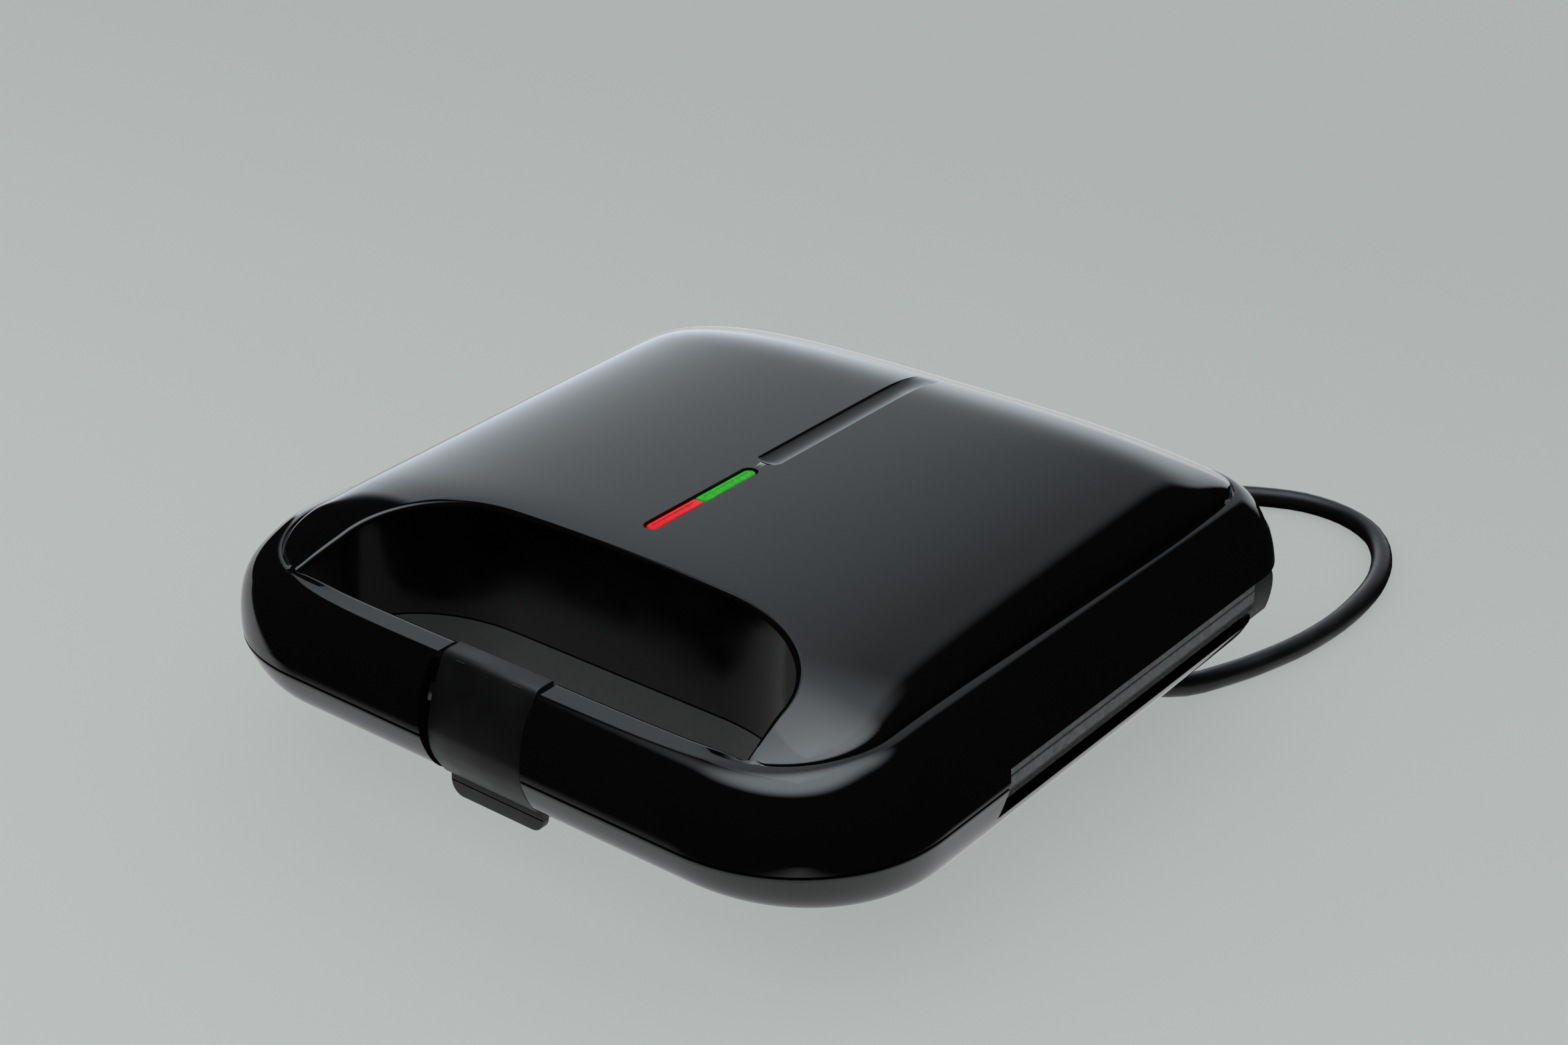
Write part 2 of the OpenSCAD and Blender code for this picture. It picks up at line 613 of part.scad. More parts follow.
module upper_housing() seat() color("#141516") {
    difference() {
        lid_solid();
        difference() {
            lid_void();
            opening_prism(wall, 0, 60);
            slab(-notch_half - cheek_t, notch_half + cheek_t, -over, bar_d, 0, 40);
            for (p = lid_screw_xy) translate([p[0], p[1], gap + casing_t]) cylinder(h = 40, d = boss_d, $fn = 48);
            for (sx = [-1, 1]) along_x(sx * (lug_x + lug_t / 2) - lug_t / 2, lug_t) lug_rib();
            translate([0, 0, slot_z - collar_h]) linear_extrude(20) slot_outline(wall);
        }
        opening_prism(0, -1, 60);
        slab(-notch_half, notch_half, -over, bar_d + 1, -1, 40);
        rod_x(0, latch_pin_y, latch_pin_h, 2 * (notch_half + cheek_t), latch_pin_d);
        recess_cut(-1, recess_up, body_d + over);
        for (x = [-half_w, lug_x - 6]) slab(x, x + half_w - lug_x + 6, casing_y1, body_d + over, -1, recess_up);
        translate([0, 0, slot_z - over]) linear_extrude(over + 10) slot_outline(0);
        for (p = lid_screw_xy) translate([p[0], p[1], 0]) cylinder(h = 15, d = screw_d + 2 * screw_fit, $fn = 32);
        trough_cut();
    }
    for (sx = [-1, 1]) hinge_lug(sx * (lug_x + lug_t / 2));
}

// Shallow trough behind the indicator slot
module trough_cut() {
    y0 = slot_y + slot_len + 4;
    for (i = [0:3]) {
        ya = y0 + trough_len * i / 4;
        yb = y0 + trough_len * (i + 1) / 4;
        za = panel_z(0, ya) - trough_depth;
        zb = panel_z(0, yb) - trough_depth;
        along_x(-trough_w / 2, trough_w) polygon([[ya, za], [yb, zb], [yb, zb + over], [ya, za + over]]);
    }
}

// Rib that carries the lug up to the inside of the lid
module lug_rib() {
    polygon([
        [hinge_y - lug_r, recess_up], [hinge_y + lug_r, recess_up], [hinge_y + lug_r, 40],
        [hinge_y - lug_r - 14, 40]
    ]);
}

module hinge_lug(x) {
    difference() {
        along_x(x - lug_t / 2, lug_t) {
            translate([hinge_y, -hinge_drop]) circle(lug_r, $fn = 64);
            translate([hinge_y - lug_r, -hinge_drop]) square([2 * lug_r, hinge_drop + 14]);
        }
        rod_x(x, hinge_y, -hinge_drop, lug_t + 2, hinge_pin_d + 2 * run_fit);
    }
}

module lower_housing() seat() color("#1b1c1e") {
    difference() {
        union() {
            difference() {
                base_solid();
                difference() {
                    base_void();
                    opening_prism(wall, -60, 1);
                    slab(-notch_half - cheek_t, notch_half + cheek_t, -over, bar_d, -60, 0);
                    at_outlet() slab(-bay_half - wall, bay_half + wall, -wall, 120, -over, bay_h + wall);
                }
                recess_cut(-recess_down, 1, body_d + over);
            }
            for (sx = [-1, 1]) along_x(sx * (ear_x - ear_t / 2) - ear_t / 2, ear_t) ear_profile();
        }
        opening_prism(0, -60, 1);
        latch_bay();
        at_outlet() {
            slab(-bay_half, bay_half, 0, 120, -over, bay_h);
            translate([0, -wall - 1, 0]) rotate([-90, 0, 0]) cylinder(h = wall + 2, d = relief_d - 2, $fn = 48);
        }
        for (sx = [-1, 1]) {
            slab(sx > 0 ? lug_x - 0.4 : -ear_x + ear_t, sx > 0 ? ear_x - ear_t : -lug_x + 0.4,
                hinge_y - lug_r - 0.6, body_d + over, -hinge_drop - lug_r - 0.6, 1);
            rod_x(sx * (ear_x - pin_end - ear_t / 2), hinge_y, -hinge_drop, ear_t, hinge_pin_d);
        }
        for (p = foot_xy) translate([p[0], p[1], -tub_floor - 1]) cylinder(h = 1 + foot_seat, d = foot_d, $fn = 64);
        for (p = base_screw_xy) translate([p[0], p[1], -base_h]) {
            cylinder(h = base_h, d = screw_d + 0.6, $fn = 32);
            cylinder(h = foot_h + 1.2, d = 6.4, $fn = 48);
        }
    }
}

// The notch in the lower bar, with the catch left standing behind the strap
module latch_bay() {
    slab(-notch_half, notch_half, -over, catch_front, -60, 1);
    slab(-notch_half, notch_half, -over, bar_d + 1, -60, -catch_drop);
}

// ---------- lower half ----------
module lower_casing() seat() color("#3a3c3e") {
    difference() {
        union() {
            mirror([0, 0, 1]) casing(hinge_drop - gap);
            for (p = base_screw_xy) translate([p[0], p[1], -tub_floor + wall])
                cylinder(h = tub_floor - wall - gap - 1, d = boss_d, $fn = 48);
        }
        for (p = base_screw_xy) translate([p[0], p[1], -tub_floor]) cylinder(h = 18, d = screw_d + 2 * screw_fit, $fn = 32);
    }
}

module lower_cooking_plate() seat() color("#202022") mirror([0, 0, 1]) cooking_plate();
module lower_heater() seat() color("#6f6a66") mirror([0, 0, 1]) heater_with_ends();
module lower_reflector() seat() color("#c3c6c8") mirror([0, 0, 1]) reflector();
module lower_plate_screws() seat() color("#b9bcc0") mirror([0, 0, 1]) plate_screws();

module base_screws() seat() color("#b9bcc0") {
    for (p = base_screw_xy) translate([p[0], p[1], -tub_floor + 1.2]) {
        cylinder(h = 14, d = screw_d, $fn = 32);
        translate([0, 0, -1.8]) cylinder(h = 1.8, d = 5.6, $fn = 32);
    }
}

module rubber_feet() seat() color("#171717") {
    for (p = foot_xy) translate([p[0], p[1], -base_h]) cylinder(h = foot_h + foot_seat, d = foot_d, $fn = 64);
}

module hinge_pins() seat() color("#b9bcc0") {
    len = ear_x - pin_end - lug_x + 0.2;
    for (sx = [-1, 1]) rod_x(sx * (ear_x - pin_end - len / 2), hinge_y, -hinge_drop, len, hinge_pin_d);
}

// ---------- cord ----------
cord_r = cord_d / 2;
cord_z = cord_r - base_h;
clamp_back = 24;           // how far inside the bulkhead the cord clamp sits
clamp_half = 13;
clamp_len = 8;
coil_c = outlet_xy + [-48, 144];
coil_pitch = cord_d + 0.4;
coil_r = 44.3;
coil_a = 78;
coil_end = 735;
tail_turn = 40;            // how far the tail turns back towards the object before the plug
tail_r = 60;
tail_straight = 10;

function outlet_point(d) = [outlet_xy[0] + d * sin(outlet_turn), outlet_xy[1] + d * cos(outlet_turn), outlet_z];

// Hand-chosen points of the cord's run beside and behind the object: across and back from the
// outlet, and height as a share of the outlet's height over the cord on the table
cord_run = [
    [26, 46, 0.52], [34, 63, 0.113], [40.4, 81, 0], [45, 95, 0], [49, 112, 0], [51, 131, 0], [50.6, 150, 0],
    [48, 168, 0], [42, 185, 0], [32, 199, 0], [18, 207, 0], [2, 208, 0], [-13, 202, 0], [-26, 194, 0]
];
cord_points = concat(
    [outlet_point(-clamp_back - clamp_len), outlet_point(-clamp_back), outlet_point(relief_len), outlet_point(relief_len + 4)],
    [for (p = cord_run) [outlet_xy[0] + p[0], outlet_xy[1] + p[1], cord_z + (outlet_z - cord_z) * p[2]]],
    [coil_point(-9), coil_point(0)]
);

// Path of the coil: in over one turn on the table, up over half a turn, out again on top
function coil_radius(a) = a < 360 ? coil_r - coil_pitch * a / 360
    : a < 405 ? coil_r - coil_pitch - 0.9 * (a - 360) / 45
    : a < 540 ? coil_r - coil_pitch - 0.9
    : coil_r - coil_pitch - 0.9 + 8.3 * (a - 540) / 360;
function coil_rise(a) = let (u = min(1, max(0, (a - 360) / 180))) coil_pitch * u * u * (3 - 2 * u);
function coil_point(a) = [
    coil_c[0] + coil_radius(a) * cos(coil_a + a), coil_c[1] + coil_radius(a) * sin(coil_a + a),
    cord_z + coil_rise(a)
];
tail_heading = [-cos(tail_turn), -sin(tail_turn), 0];
function tail_point(a) = coil_point(coil_end) + tail_r * [-sin(a), cos(a) - 1, 0];
plug_at = tail_point(tail_turn) + tail_straight * tail_heading;
coil_path = concat(
    [for (i = [0:49]) coil_point(i * 15)],
    [for (a = [8:8:tail_turn]) tail_point(a)],
    [tail_point(tail_turn) + tail_straight / 2 * tail_heading, plug_at]
);

// Smooth curve through points, each span cut in n parts
function spline(p, n) = let (m = len(p)) concat([
    for (i = [0:m - 2], j = [0:n - 1]) let (
        t = j / n, a = p[max(0, i - 1)], b = p[i], c = p[i + 1], d = p[min(m - 1, i + 2)]
    ) 0.5 * (2 * b + (c - a) * t + (2 * a - 5 * b + 4 * c - d) * t * t + (3 * b - a - 3 * c + d) * t * t * t)
], [p[m - 1]]);

function unit(v) = v / norm(v);
function tube_rings(path, d, sides, up) = let (m = len(path)) [
    for (i = [0:m - 1]) let (
        t = unit(path[min(m - 1, i + 1)] - path[max(0, i - 1)]), n = unit(cross(up, t)), b = cross(t, n)
    ) [for (k = [0:sides - 1]) path[i] + d / 2 * (cos(360 * k / sides) * n + sin(360 * k / sides) * b)]
];
module tube(path, d, sides, up) { skin(tube_rings(path, d, sides, up)); }

free_path = spline(cord_points, 4);
module mains_cord() seat() color("#1a1a1b") tube(free_path, cord_d, 10, [0, 0, 1]);
module cord_coil() seat() color("#1a1a1b") tube(coil_path, cord_d, 6, [0, 0, 1]);

module strain_relief() seat() color("#1a1a1b") at_outlet() rotate([-90, 0, 0]) {
    difference() {
        union() {
            translate([0, 0, -wall - 2]) cylinder(h = 2, d = relief_d + 1.6, $fn = 48);
            translate([0, 0, -wall]) cylinder(h = wall, d = relief_d - 2, $fn = 48);
            cylinder(h = 3, d = relief_d, $fn = 48);
            for (i = [1:4]) {
                translate([0, 0, relief_len * i / 5]) cylinder(h = 3, d = relief_d - 0.55 * i, $fn = 48);
            }
            cylinder(h = relief_len - 1, d = cord_d + 1.8, $fn = 48);
        }
        translate([0, 0, -wall - 4]) cylinder(h = relief_len + 10, d = cord_d + 0.1, $fn = 48);
    }
}

floor_z = wall - tub_floor;      // inner face of the tub's floor
module cord_clamp() seat() color("#d8d8d2") at_outlet() difference() {
    slab(-clamp_half, clamp_half, -clamp_back - clamp_len / 2, -clamp_back + clamp_len / 2, floor_z - outlet_z, cord_r + 3);
    translate([0, -clamp_back - clamp_len / 2 - 1, 0]) rotate([-90, 0, 0])
        cylinder(h = clamp_len + 2, d = cord_d + 0.1, $fn = 48);
}

// Screw terminal block on the tub's floor
block_ahead = 36;          // from the outlet forward to the block's middle
block_aside = 26;          // and across to its near end
pole_pitch = 10;
pole_d = 3.4;
block_len = 3 * pole_pitch;
block_h = 11;
block_x = [outlet_xy[0] - block_aside - block_len, outlet_xy[0] - block_aside];
block_y = outlet_xy[1] - block_ahead;
block_half = 7;
module terminal_block() seat() color("#d8d8d2") difference() {
    slab(block_x[0], block_x[1], block_y - block_half, block_y + block_half, floor_z, floor_z + block_h);
    for (i = [0:2]) translate([block_x[0] + pole_pitch * (i + 0.5), block_y, floor_z + block_h - 6])
        cylinder(h = 8, d = pole_d, $fn = 32);
}

wire_d = 2.2;
wire_z = floor_z + 7;
wire_gap = 1.5;            // least room between a wire and the cord bay's wall
bay_side = outlet_xy[0] + (tip_y - outlet_xy[1]) * tan(outlet_turn) - (bay_half + wall) / cos(outlet_turn);
drop_x = min(heater_leg, bay_side - wire_d / 2 - wire_gap);   // where the right heater's wire goes down
function mix(a, b, t) = a + (b - a) * t;
module base_wiring() seat() color("#8a2f2a") {
    from = outlet_point(-clamp_back - clamp_len);
    back = outlet_point(-clamp_back - 1.5 * clamp_len);
    for (i = [-1, 0, 1]) tube([
        from + [1.6 * i, -0.9 * i, 0], back + [2 * i, -1.2 * i, 0],
        [block_x[1] + 3, block_y - i * 3.6, wire_z], [block_x[1], block_y - i * 3.6, wire_z]
    ], wire_d, 6, [0, 0, 1]);
    front = [block_x[0] + 18, block_y + block_half, wire_z];
    side = [block_x[0], block_y, wire_z];
    right = [drop_x - 2, tip_y - 2, -heater_z - 9];
    left = [2 - heater_leg, tip_y - 2, -heater_z - 9];
    tube([[heater_leg, tip_y, -heater_z - 1], [drop_x, tip_y, -heater_z - 4], right,
        mix(right, front + [4, 15, 0], 0.4), front + [4, 15, 0], front + [0, 3, 0], front], wire_d, 6, [1, -1, 0.3]);
    tube([[-heater_leg, tip_y, -heater_z - 1], [-heater_leg, tip_y, -heater_z - 4], left,
        mix(left, side + [-8, 2, 0], 0.55), side + [-8, 2, 0], side + [-3, 0, 0], side], wire_d, 6, [1, 1, 0.3]);
}

// Generic plug at the end of the coil: neck, body and two round pins
plug_h = 2 * (cord_r + coil_pitch);
plug_body = 34;
module at_plug() { translate(plug_at) rotate([0, 0, tail_turn]) rotate([0, -90, 0]) children(); }
module plug() seat() color("#1a1a1b") at_plug() {
    cylinder(h = 14, d1 = cord_d + 2.5, d2 = cord_d + 6, $fn = 48);
    translate([0, 0, 12]) linear_extrude(plug_body) translate([0, -17]) round_rect(plug_h, 0, 34, 8);
}
module plug_pins() seat() color("#b9bcc0") at_plug() {
    for (y = [-9.5, 9.5]) translate([0, y, 12 + plug_body]) cylinder(h = 19, d = 4.8, $fn = 40);
}

// ---------- lid half ----------
module upper_casing() seat() color("#3a3c3e") difference() {
    casing(recess_up - gap - 0.5);
    for (p = lid_screw_xy) translate([p[0], p[1], 0]) {
        cylinder(h = 20, d = screw_d + 0.4, $fn = 32);
        cylinder(h = gap + 1.8, d = 6.2, $fn = 48);
    }
}

module upper_cooking_plate() seat() color("#202022") cooking_plate();
module upper_heater() seat() color("#6f6a66") heater_with_ends();
module upper_reflector() seat() color("#c3c6c8") reflector();
module upper_plate_screws() seat() color("#b9bcc0") plate_screws();

module lid_screws() seat() color("#b9bcc0") {
    for (p = lid_screw_xy) translate([p[0], p[1], gap]) {
        cylinder(h = 14, d = screw_d, $fn = 32);
        cylinder(h = 1.8, d = 5.6, $fn = 32);
    }
}

module thermostat() seat() color("#c9a36a") translate([sensor_xy[0], sensor_xy[1], body_z]) {
    cylinder(h = 3, d = 16, $fn = 48);
    translate([0, 0, 3]) cylinder(h = 6, d = 13, $fn = 48);
    for (sx = [-1, 1]) slab(sx * 4 - 0.4, sx * 4 + 0.4, -3, 3, 9, 14);
}

fuse_at = [-sensor_xy[0] - 6, sensor_xy[1] + 10, reflector_z + sheet + 2];
module thermal_fuse() seat() color("#b9bcc0") {
    rod_x(fuse_at[0], fuse_at[1], fuse_at[2], 12, 4);
    rod_x(fuse_at[0], fuse_at[1], fuse_at[2], 20, 1.2);
}

// Holder of the indicator lamps, open to the slot, with a wall between the two halves
slot_mid = slot_y + slot_len * 0.48;
holder_top = slot_z - collar_h;
holder_h = 12;
holder_half = 7;
chamber_half = 5.4;        // half width of each lamp's chamber
chamber_wall = 1.5;
lamp_z = holder_top - 7;
lamp_d = 4;
lamp_len = 16;
lens_foot = 1.2;
chambers = [[slot_y - chamber_wall, slot_mid - 0.6], [slot_mid + 0.6, slot_y + slot_len + chamber_wall]];
module lamp_holder() seat() color("#d8d8d2") difference() {
    slab(-holder_half, holder_half, slot_y - 2 * chamber_wall, slot_y + slot_len + 2 * chamber_wall,
        holder_top - holder_h, holder_top);
    for (y = chambers) {
        slab(-chamber_half, chamber_half, y[0], y[1], lamp_z - 1, holder_top + 1);
        translate([0, (y[0] + y[1] - lamp_len) / 2, lamp_z]) rotate([-90, 0, 0])
            cylinder(h = lamp_len, d = lamp_d + 0.2, $fn = 32);
    }
    slab(-chamber_half, chamber_half, slot_y - chamber_wall, slot_y + slot_len + chamber_wall,
        holder_top - lens_foot, holder_top + 1);
}

module neon_lamps() seat() color("#e8a050") {
    for (y = chambers) translate([0, (y[0] + y[1] - lamp_len) / 2, lamp_z - 0.1]) rotate([-90, 0, 0])
        cylinder(h = lamp_len, d = lamp_d, $fn = 32);
}

// One lens between y0 and y1: a foot under the collar and a bar that fills the slot
module lens(y0, y1) {
    top = panel_z(0, (y0 + y1) / 2);
    translate([0, 0, holder_top - 0.5]) linear_extrude(top - holder_top + 0.4) intersection() {
        slot_outline(-lens_gap);
        translate([-20, y0]) square([40, y1 - y0]);
    }
    slab(0.4 - chamber_half, chamber_half - 0.4, max(y0, slot_y - 1), min(y1, slot_y + slot_len + 1),
        holder_top - lens_foot, holder_top);
}
module red_lens() seat() color("#d01830") lens(slot_y - 1, slot_mid - 0.1);
module green_lens() seat() color("#30b040") lens(slot_mid + 0.1, slot_y + slot_len + 1);

module lid_wiring() seat() color("#8a2f2a") {
    tab_z = body_z + 12.5;
    right = [heater_leg - 2, tip_y - 2, heater_z + 9];
    left = [2 - heater_leg, tip_y - 2, heater_z + 9];
    rear_lamp = [holder_half, slot_y + slot_len - 10, lamp_z + 0.7];
    front_lamp = [holder_half, slot_y + 16.6, lamp_z + 1.7];
    tube([[heater_leg, tip_y, heater_z + 1], [heater_leg, tip_y, heater_z + 4], right,
        mix(right, rear_lamp + [13, 6, 0], 0.38) + [0, 0, 2.5], rear_lamp + [13, 6, 0], rear_lamp + [3, 0, 0], rear_lamp],
        wire_d, 6, [1, -1, 0.3]);
    tube([[-heater_leg, tip_y, heater_z + 1], [-heater_leg, tip_y, heater_z + 4], left,
        mix(left, fuse_at + [-14, 0, 0], 0.5), fuse_at + [-14, 0, 0], fuse_at + [-10, 0, 0]],
        wire_d, 6, [1, 1, 0.3]);
    tube([fuse_at + [10, 0, 0], fuse_at + [14, 0, 0], [sensor_xy[0] - 12, sensor_xy[1] + 2, tab_z],
        [sensor_xy[0] - 8, sensor_xy[1], tab_z], [sensor_xy[0] - 4.4, sensor_xy[1], tab_z]],
        wire_d, 6, [0, 1, 0.2]);
    tube([[sensor_xy[0] + 4.4, sensor_xy[1], tab_z], [sensor_xy[0] + 9, sensor_xy[1], tab_z],
        [sensor_xy[0] + 14, sensor_xy[1] - 12, body_z + 16], front_lamp + [19, 6, 0], front_lamp + [3, 0, 0],
        front_lamp], wire_d, 6, [0, 0.2, 1]);
}

lower_housing();
lower_casing();
lower_cooking_plate();
lower_heater();
lower_reflector();
lower_plate_screws();
base_screws();
rubber_feet();
hinge_pins();
terminal_block();
cord_clamp();
strain_relief();
base_wiring();
mains_cord();
cord_coil();
plug();
plug_pins();
upper_housing();
upper_casing();
upper_cooking_plate();
upper_heater();
upper_reflector();
upper_plate_screws();
lid_screws();
thermostat();
thermal_fuse();
lamp_holder();
neon_lamps();
red_lens();
green_lens();
lid_wiring();
latch_pin();
latch();
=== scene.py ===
import math

import bmesh
import bpy
import numpy as np
from mathutils import Matrix, Vector


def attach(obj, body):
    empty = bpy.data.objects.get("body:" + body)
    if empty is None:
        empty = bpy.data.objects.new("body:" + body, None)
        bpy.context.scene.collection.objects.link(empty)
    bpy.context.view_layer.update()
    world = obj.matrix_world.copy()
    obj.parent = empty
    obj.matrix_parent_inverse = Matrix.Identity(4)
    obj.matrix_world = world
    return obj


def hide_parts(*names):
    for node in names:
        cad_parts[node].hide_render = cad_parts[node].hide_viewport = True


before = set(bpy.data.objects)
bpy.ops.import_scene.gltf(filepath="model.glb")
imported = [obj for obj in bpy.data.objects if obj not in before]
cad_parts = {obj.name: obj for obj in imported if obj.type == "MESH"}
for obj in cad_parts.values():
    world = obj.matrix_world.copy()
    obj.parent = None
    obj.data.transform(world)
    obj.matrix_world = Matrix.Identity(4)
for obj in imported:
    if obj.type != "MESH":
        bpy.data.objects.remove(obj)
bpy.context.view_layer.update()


# ---------------------------------------------------------------- camera
# The view of the photograph: from the front right, about 26 degrees above the table, on a
# medium-long lens. Points below are in millimetres, with y = 0 at the toaster's front face and
# z = 0 where lid and base meet; seat() turns them into metres of the shared frame.
BODY_D = 237
HALF_BODY = 114
BASE_H = 43


def seat(p):
    """Working millimetres to metres of the shared frame."""
    return Vector((p[0], p[1] - BODY_D / 2, p[2] + BASE_H)) / 1000


AZIMUTH, ELEVATION, ROLL = (math.radians(a) for a in (37.036, 25.716, 1.169))
AIM = (-22.43, 159.784, 0)
DISTANCE = 724.45
LENS, SENSOR = 54.37, 36

back = Vector((
    math.sin(AZIMUTH) * math.cos(ELEVATION), -math.cos(AZIMUTH) * math.cos(ELEVATION), math.sin(ELEVATION),
))
level = Vector((math.cos(AZIMUTH), math.sin(AZIMUTH), 0))
upward = back.cross(level)
right = level * math.cos(ROLL) + upward * math.sin(ROLL)
upward = upward * math.cos(ROLL) - level * math.sin(ROLL)

bpy.ops.object.camera_add()
camera = bpy.context.object
camera.name = "photo_camera"
camera.data.sensor_fit = "HORIZONTAL"
camera.data.sensor_width = SENSOR
camera.data.lens = LENS
camera.data.clip_start = 0.02
camera.matrix_world = Matrix((
    (right.x, upward.x, back.x, 0),
    (right.y, upward.y, back.y, 0),
    (right.z, upward.z, back.z, 0),
    (0, 0, 0, 1),
))
camera.location = seat(AIM) + back * DISTANCE / 1000
bpy.context.scene.camera = camera


# ---------------------------------------------------------------- mains cord
# Round black PVC lead of 7 mm. It leaves the base under the rear right, drops to the table and
# sweeps behind the toaster, where the length that the picture doesn't show lies in a small coil.
def noded(name):
    """A new material with an empty node tree."""
    made = bpy.data.materials.new(name)
    made.use_nodes = True
    made.node_tree.nodes.clear()
    return made


def node(finish, kind, links=(), **settings):
    """Adds one node to a material or world. Settings are its properties or sockets; links fill its
    inputs, by name or place, from another node's output or with a number."""
    tree = finish.node_tree
    made = tree.nodes.new(kind)
    for key, value in settings.items():
        if hasattr(made, key):
            setattr(made, key, value)
        else:
            live_input(made, key.replace("_", " ")).default_value = value
    for name, source in links:
        if isinstance(source, float):
            live_input(made, name).default_value = source
        else:
            tree.links.new(source, live_input(made, name))
    return made


def live_input(made, name):
    """The input at a place, or the one in use under a name."""
    if isinstance(name, int):
        return made.inputs[name]
    return next(s for s in made.inputs if s.enabled and s.name.lower() == name.lower())


def result(made):
    """The first output that is in use."""
    return next(s for s in made.outputs if s.enabled)


def linear(code):
    """sRGB hex to the linear colour that a shader takes."""
    channels = [int(code[i:i + 2], 16) / 255 for i in (1, 3, 5)]
    return tuple(c / 12.92 if c <= 0.04045 else ((c + 0.055) / 1.055) ** 2.4 for c in channels) + (1,)


NOISE_SPREAD = {"From_Min": 0.3, "From_Max": 0.7}        # nearly all of a noise texture lies in this span


def plastic(name, dark, pale, rough, grain_mm, depth_mm, coat=0.0, patch_mm=35.0, ior=1.5):
    """Moulded plastic: two shades in soft patches, roughness between two values, and a moulded grain."""
    made = noded(name)
    place = node(made, "ShaderNodeTexCoord").outputs["Object"]
    patches = node(made, "ShaderNodeTexNoise", [("Vector", place)], Scale=1000 / patch_mm, Detail=2.0)
    skin_grain = node(made, "ShaderNodeTexNoise", [("Vector", place)], Scale=1000 / grain_mm, Detail=3.0)
    shade = node(made, "ShaderNodeMix", [("Factor", patches.outputs["Fac"])],
                 data_type="RGBA", A=linear(dark), B=linear(pale))
    sheen = node(made, "ShaderNodeMapRange", [("Value", patches.outputs["Fac"])],
                 To_Min=rough[0], To_Max=rough[1], **NOISE_SPREAD)
    bump = node(made, "ShaderNodeBump", [("Height", skin_grain.outputs["Fac"])],
                Strength=1.0, Distance=depth_mm / 1000)
    surface = node(made, "ShaderNodeBsdfPrincipled", [
        ("Base Color", result(shade)), ("Normal", bump.outputs[0]), ("Roughness", sheen.outputs[0]),
    ], IOR=ior, Coat_Weight=coat, Coat_Roughness=0.03)
    node(made, "ShaderNodeOutputMaterial", [("Surface", surface.outputs[0])])
    return made


def spline(points, steps):
    """Smooth curve through the points, each span cut into steps."""
    p = np.array(points, float)
    made = []
    for i in range(len(p) - 1):
        a, b, c, d = p[max(0, i - 1)], p[i], p[i + 1], p[min(len(p) - 1, i + 2)]
        for j in range(steps):
            t = j / steps
            square, cube = 2 * a - 5 * b + 4 * c - d, 3 * b - a - 3 * c + d
            made.append(0.5 * (2 * b + (c - a) * t + square * t * t + cube * t ** 3))
    return np.array(made + [p[-1]])


def skin(name, rings, closed=False):
    """Object skinned over rings of points in working millimetres; ends are capped, or joined if closed."""
    count, size = len(rings), len(rings[0])
    points = [tuple(seat(p)) for ring in rings for p in ring]
    faces = []
    for j in range(count if closed else count - 1):
        here, following = j * size, (j + 1) % count * size
        for i in range(size):
            beside = (i + 1) % size
            faces.append((here + i, here + beside, following + beside, following + i))
    if not closed:
        faces += [tuple(reversed(range(size))), tuple(range((count - 1) * size, count * size))]
    mesh = bpy.data.meshes.new(name)
    mesh.from_pydata(points, [], faces)
    made = bpy.data.objects.new(name, mesh)
    bpy.context.scene.collection.objects.link(made)
    work = bmesh.new()
    work.from_mesh(mesh)
    bmesh.ops.recalc_face_normals(work, faces=work.faces)
    work.to_mesh(mesh)
    work.free()
    return made


def only(piece):
    """Selects this object and no other."""
    bpy.ops.object.select_all(action="DESELECT")
    bpy.context.view_layer.objects.active = piece
    piece.select_set(True)


def smooth(piece, angle):
    """Shades smooth wherever faces meet at less than the angle, in degrees."""
    only(piece)
    bpy.ops.object.shade_smooth_by_angle(angle=math.radians(angle))


def tube(name, path, radius, sides=14):
    """Round tube along a path, its frame carried without twist."""
    path = np.array(path)
    heading = np.gradient(path, axis=0)
    heading /= np.linalg.norm(heading, axis=1)[:, None]
    across = np.cross(heading[0], (0, 0, 1))
    rings = []
    for centre, ahead in zip(path, heading):
        across = across - ahead * across.dot(ahead)
        across /= np.linalg.norm(across)
        over = np.cross(ahead, across)
        turns = [2 * math.pi * k / sides for k in range(sides)]
        rings.append([centre + radius * (math.cos(a) * across + math.sin(a) * over) for a in turns])
    return skin(name, rings)


CORD_D = 7
CORD_Z = CORD_D / 2 - BASE_H            # axis of the cord where it lies on the table
OUTLET = (58, 148, -28)                 # where the cord leaves the base, and its heading there
OUTLET_TURN = math.radians(30)
RELIEF_LEN = 30
COIL_CENTRE, COIL_R = (10, 292), 44.3
COIL_PITCH = CORD_D + 0.4
COIL_DIP, COIL_FLARE = 0.9, 8.3         # by how much the coil closes in as it climbs, and opens at its end
COIL_START, COIL_END = 78, 735          # degrees
TAIL_R, TAIL_TURN = 60, 40              # the bend that leads into the plug, in millimetres and degrees


def outlet_point(d):
    """Point on the outlet's axis, d outside the base."""
    return (OUTLET[0] + d * math.sin(OUTLET_TURN), OUTLET[1] + d * math.cos(OUTLET_TURN), OUTLET[2])


def coil_point(a):
    """In over one turn on the table, up over half a turn, out again on top."""
    radius = COIL_R - COIL_PITCH * min(a, 360) / 360 - COIL_DIP * min(1, max(0, (a - 360) / 45))
    radius += COIL_FLARE * max(0, a - 540) / 360
    u = min(1, max(0, (a - 360) / 180))
    turn = math.radians(COIL_START + a)
    x, y = COIL_CENTRE[0] + radius * math.cos(turn), COIL_CENTRE[1] + radius * math.sin(turn)
    return (x, y, CORD_Z + COIL_PITCH * u * u * (3 - 2 * u))


